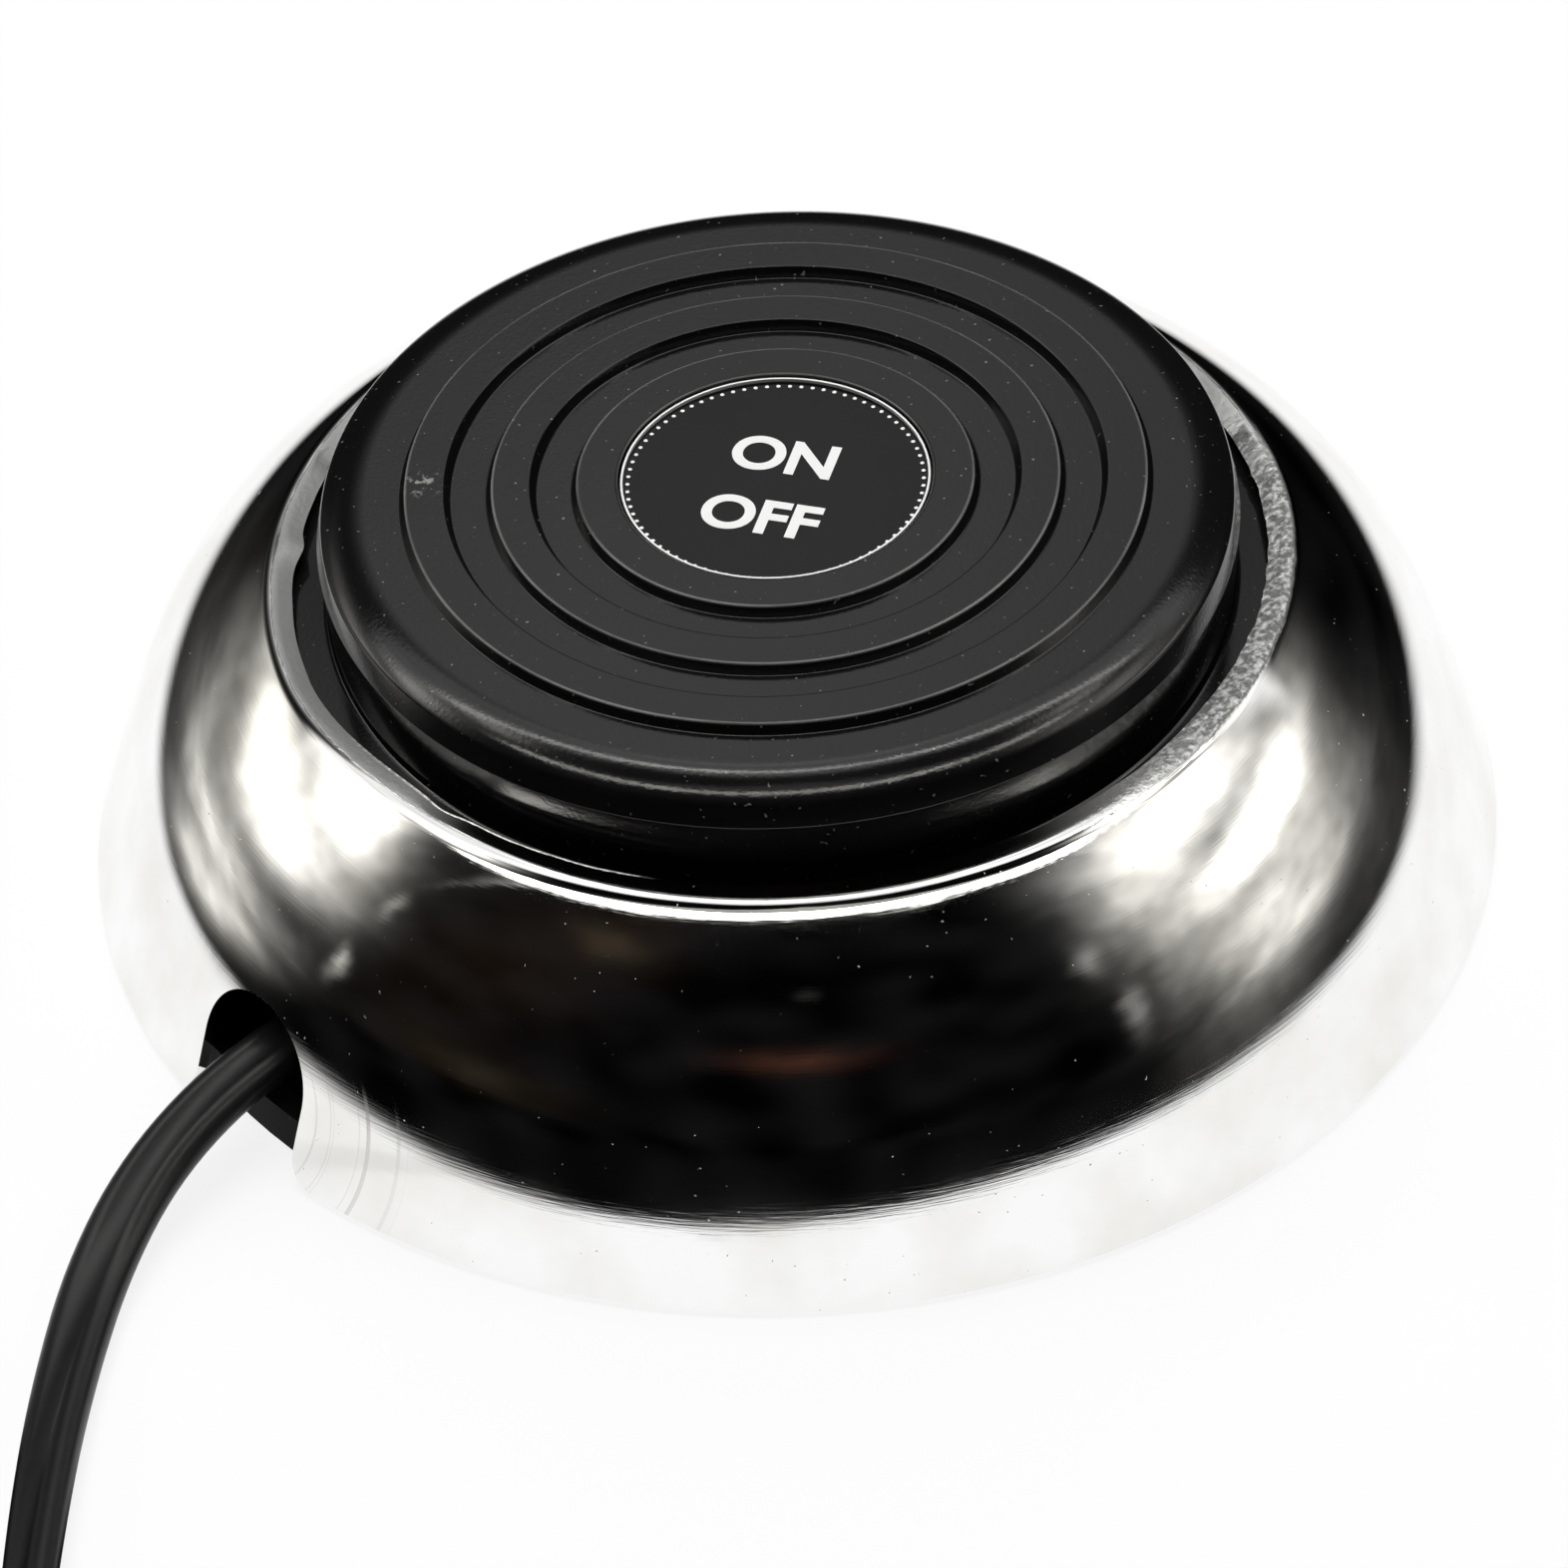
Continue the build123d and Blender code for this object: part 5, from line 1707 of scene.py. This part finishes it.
    def dark_table(self) -> None:
        """Lays the dark table beyond the pale sheet, with the windows' gleam, in the reflections only."""
        points, glows, covers, faces = [], [], [], []
        columns, rows, near, far, level = 360, 150, 0.074, 2.6, 0.0004
        for row in range(rows):
            distance = near * (far / near) ** (row / (rows - 1))
            for column in range(columns):
                heading = column - 180
                way = self.aim(heading, 0.0) * distance
                points.append(Vector((way.x, way.y, level)))
                seen = heading + self.gleam_shift * math.sin(math.radians(0.9 * heading)) / distance
                glows.append(self.light_at(seen, -self.gleam_drop / distance))
                start, end = self.edge_at(heading)
                covers.append(eased((distance - start) / (end - start)))
        for row in range(rows - 1):
            for column in range(columns):
                after = (column + 1) % columns
                a, b = row * columns, (row + 1) * columns
                faces.append((a + column, b + column, b + after, a + after))
        self.mirrored("dark_table", points, faces, glows, covers)

    def floor(self) -> None:
        """Lays a pale paper floor that keeps a soft shadow."""
        made = bpy.data.materials.new("pale_paper")
        made.use_nodes = True
        tree = made.node_tree
        tree.nodes.clear()
        paper = add_node(tree, "ShaderNodeBsdfDiffuse", {"Color": linear("#f6f6f6")})
        white = add_node(tree, "ShaderNodeEmission", {"Strength": 1.0})
        rays = add_node(tree, "ShaderNodeLightPath").outputs
        seen = rays["Is Camera Ray"]
        for kind in ("Is Glossy Ray", "Is Transmission Ray"):
            seen = add_node(tree, "ShaderNodeMath", {0: seen, 1: rays[kind]}, operation="MAXIMUM").outputs[0]
        share = add_node(tree, "ShaderNodeMath", {0: seen, 1: self.paper_glow}, operation="MULTIPLY")
        mix = add_node(
            tree, "ShaderNodeMixShader", {0: share.outputs[0], 1: paper.outputs[0], 2: white.outputs[0]}
        )
        add_node(tree, "ShaderNodeOutputMaterial", {"Surface": mix.outputs[0]})
        mesh = bpy.data.meshes.new("floor")
        side = 6.0
        mesh.from_pydata([(-side, -side, 0.0), (side, -side, 0.0), (side, side, 0.0), (-side, side, 0.0)],
                         [], [(0, 1, 2, 3)])
        mesh.materials.append(made)
        floor = bpy.data.objects.new("floor", mesh)
        bpy.context.scene.collection.objects.link(floor)

    def light(self) -> None:
        """Sets a faint even sky, a large soft lamp above and softer ones behind and at the sides."""
        world = bpy.data.worlds.new("soft_sky")
        bpy.context.scene.world = world
        world.use_nodes = True
        tree = world.node_tree
        tree.nodes.clear()
        rays = add_node(tree, "ShaderNodeLightPath")
        strength = add_node(
            tree, "ShaderNodeMapRange", {"Value": rays.outputs["Is Camera Ray"], "To Min": 0.1, "To Max": 1.0}
        )
        sky = add_node(tree, "ShaderNodeBackground", {"Strength": strength.outputs[0]})
        add_node(tree, "ShaderNodeOutputWorld", {"Surface": sky.outputs[0]})
        for name, heading, rise, size, watts in self.lamps:
            lamp = bpy.data.lights.new(name, "AREA")
            lamp.shape, lamp.size, lamp.energy = "DISK", size, watts
            holder = bpy.data.objects.new(name, lamp)
            way = self.aim(heading, rise)
            holder.location = way * self.lamp_distance
            holder.rotation_euler = way.to_track_quat("Z", "Y").to_euler()
            holder.visible_glossy = False
            bpy.context.scene.collection.objects.link(holder)

    def camera(self) -> None:
        """Sets the camera where the photograph was taken."""
        data = bpy.data.cameras.new("camera")
        data.sensor_width, data.lens = 36.0, self.lens
        data.clip_start, data.clip_end = 0.05, 20.0
        holder = bpy.data.objects.new("camera", data)
        holder.location = self.camera_place
        holder.rotation_euler = [math.radians(a) for a in self.camera_turn]
        bpy.context.scene.collection.objects.link(holder)
        bpy.context.scene.camera = holder

    def build(self) -> None:
        """Sets the whole stage."""
        bpy.context.scene.view_settings.view_transform = "Standard"
        self.camera()
        self.floor()
        self.light()
        self.room()
        self.dark_table()


def main() -> None:
    """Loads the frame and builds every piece."""
    logging.basicConfig(level=logging.INFO, format="%(name)s %(message)s")
    bpy.ops.wm.read_factory_settings(use_empty=True)
    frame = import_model()
    Studio().build()
    nodes = frame["nodes"]
    Works().build(nodes)
    put_away = [nodes[name] for name in ("plug_body", "plug_contact_left", "plug_contact_right", "coil_tie")]
    for piece in put_away:
        piece.visible_glossy = False
    Cord().build(put_away)
    Dome().build()
    Pedal().build()
    Label().build()
    Spring(
        "pedal_spring", "return_spring", radius=10.2 * MM, wire=1.4 * MM, turns=5,
        low=18.15 * MM, high=34.3 * MM,
    ).build()
    Spring(
        "plunger_spring", "switch_spring", radius=3.5 * MM, wire=0.5 * MM, turns=2,
        low=9.45 * MM, high=15.15 * MM,
    ).build()


if __name__ == "__main__":
    main()
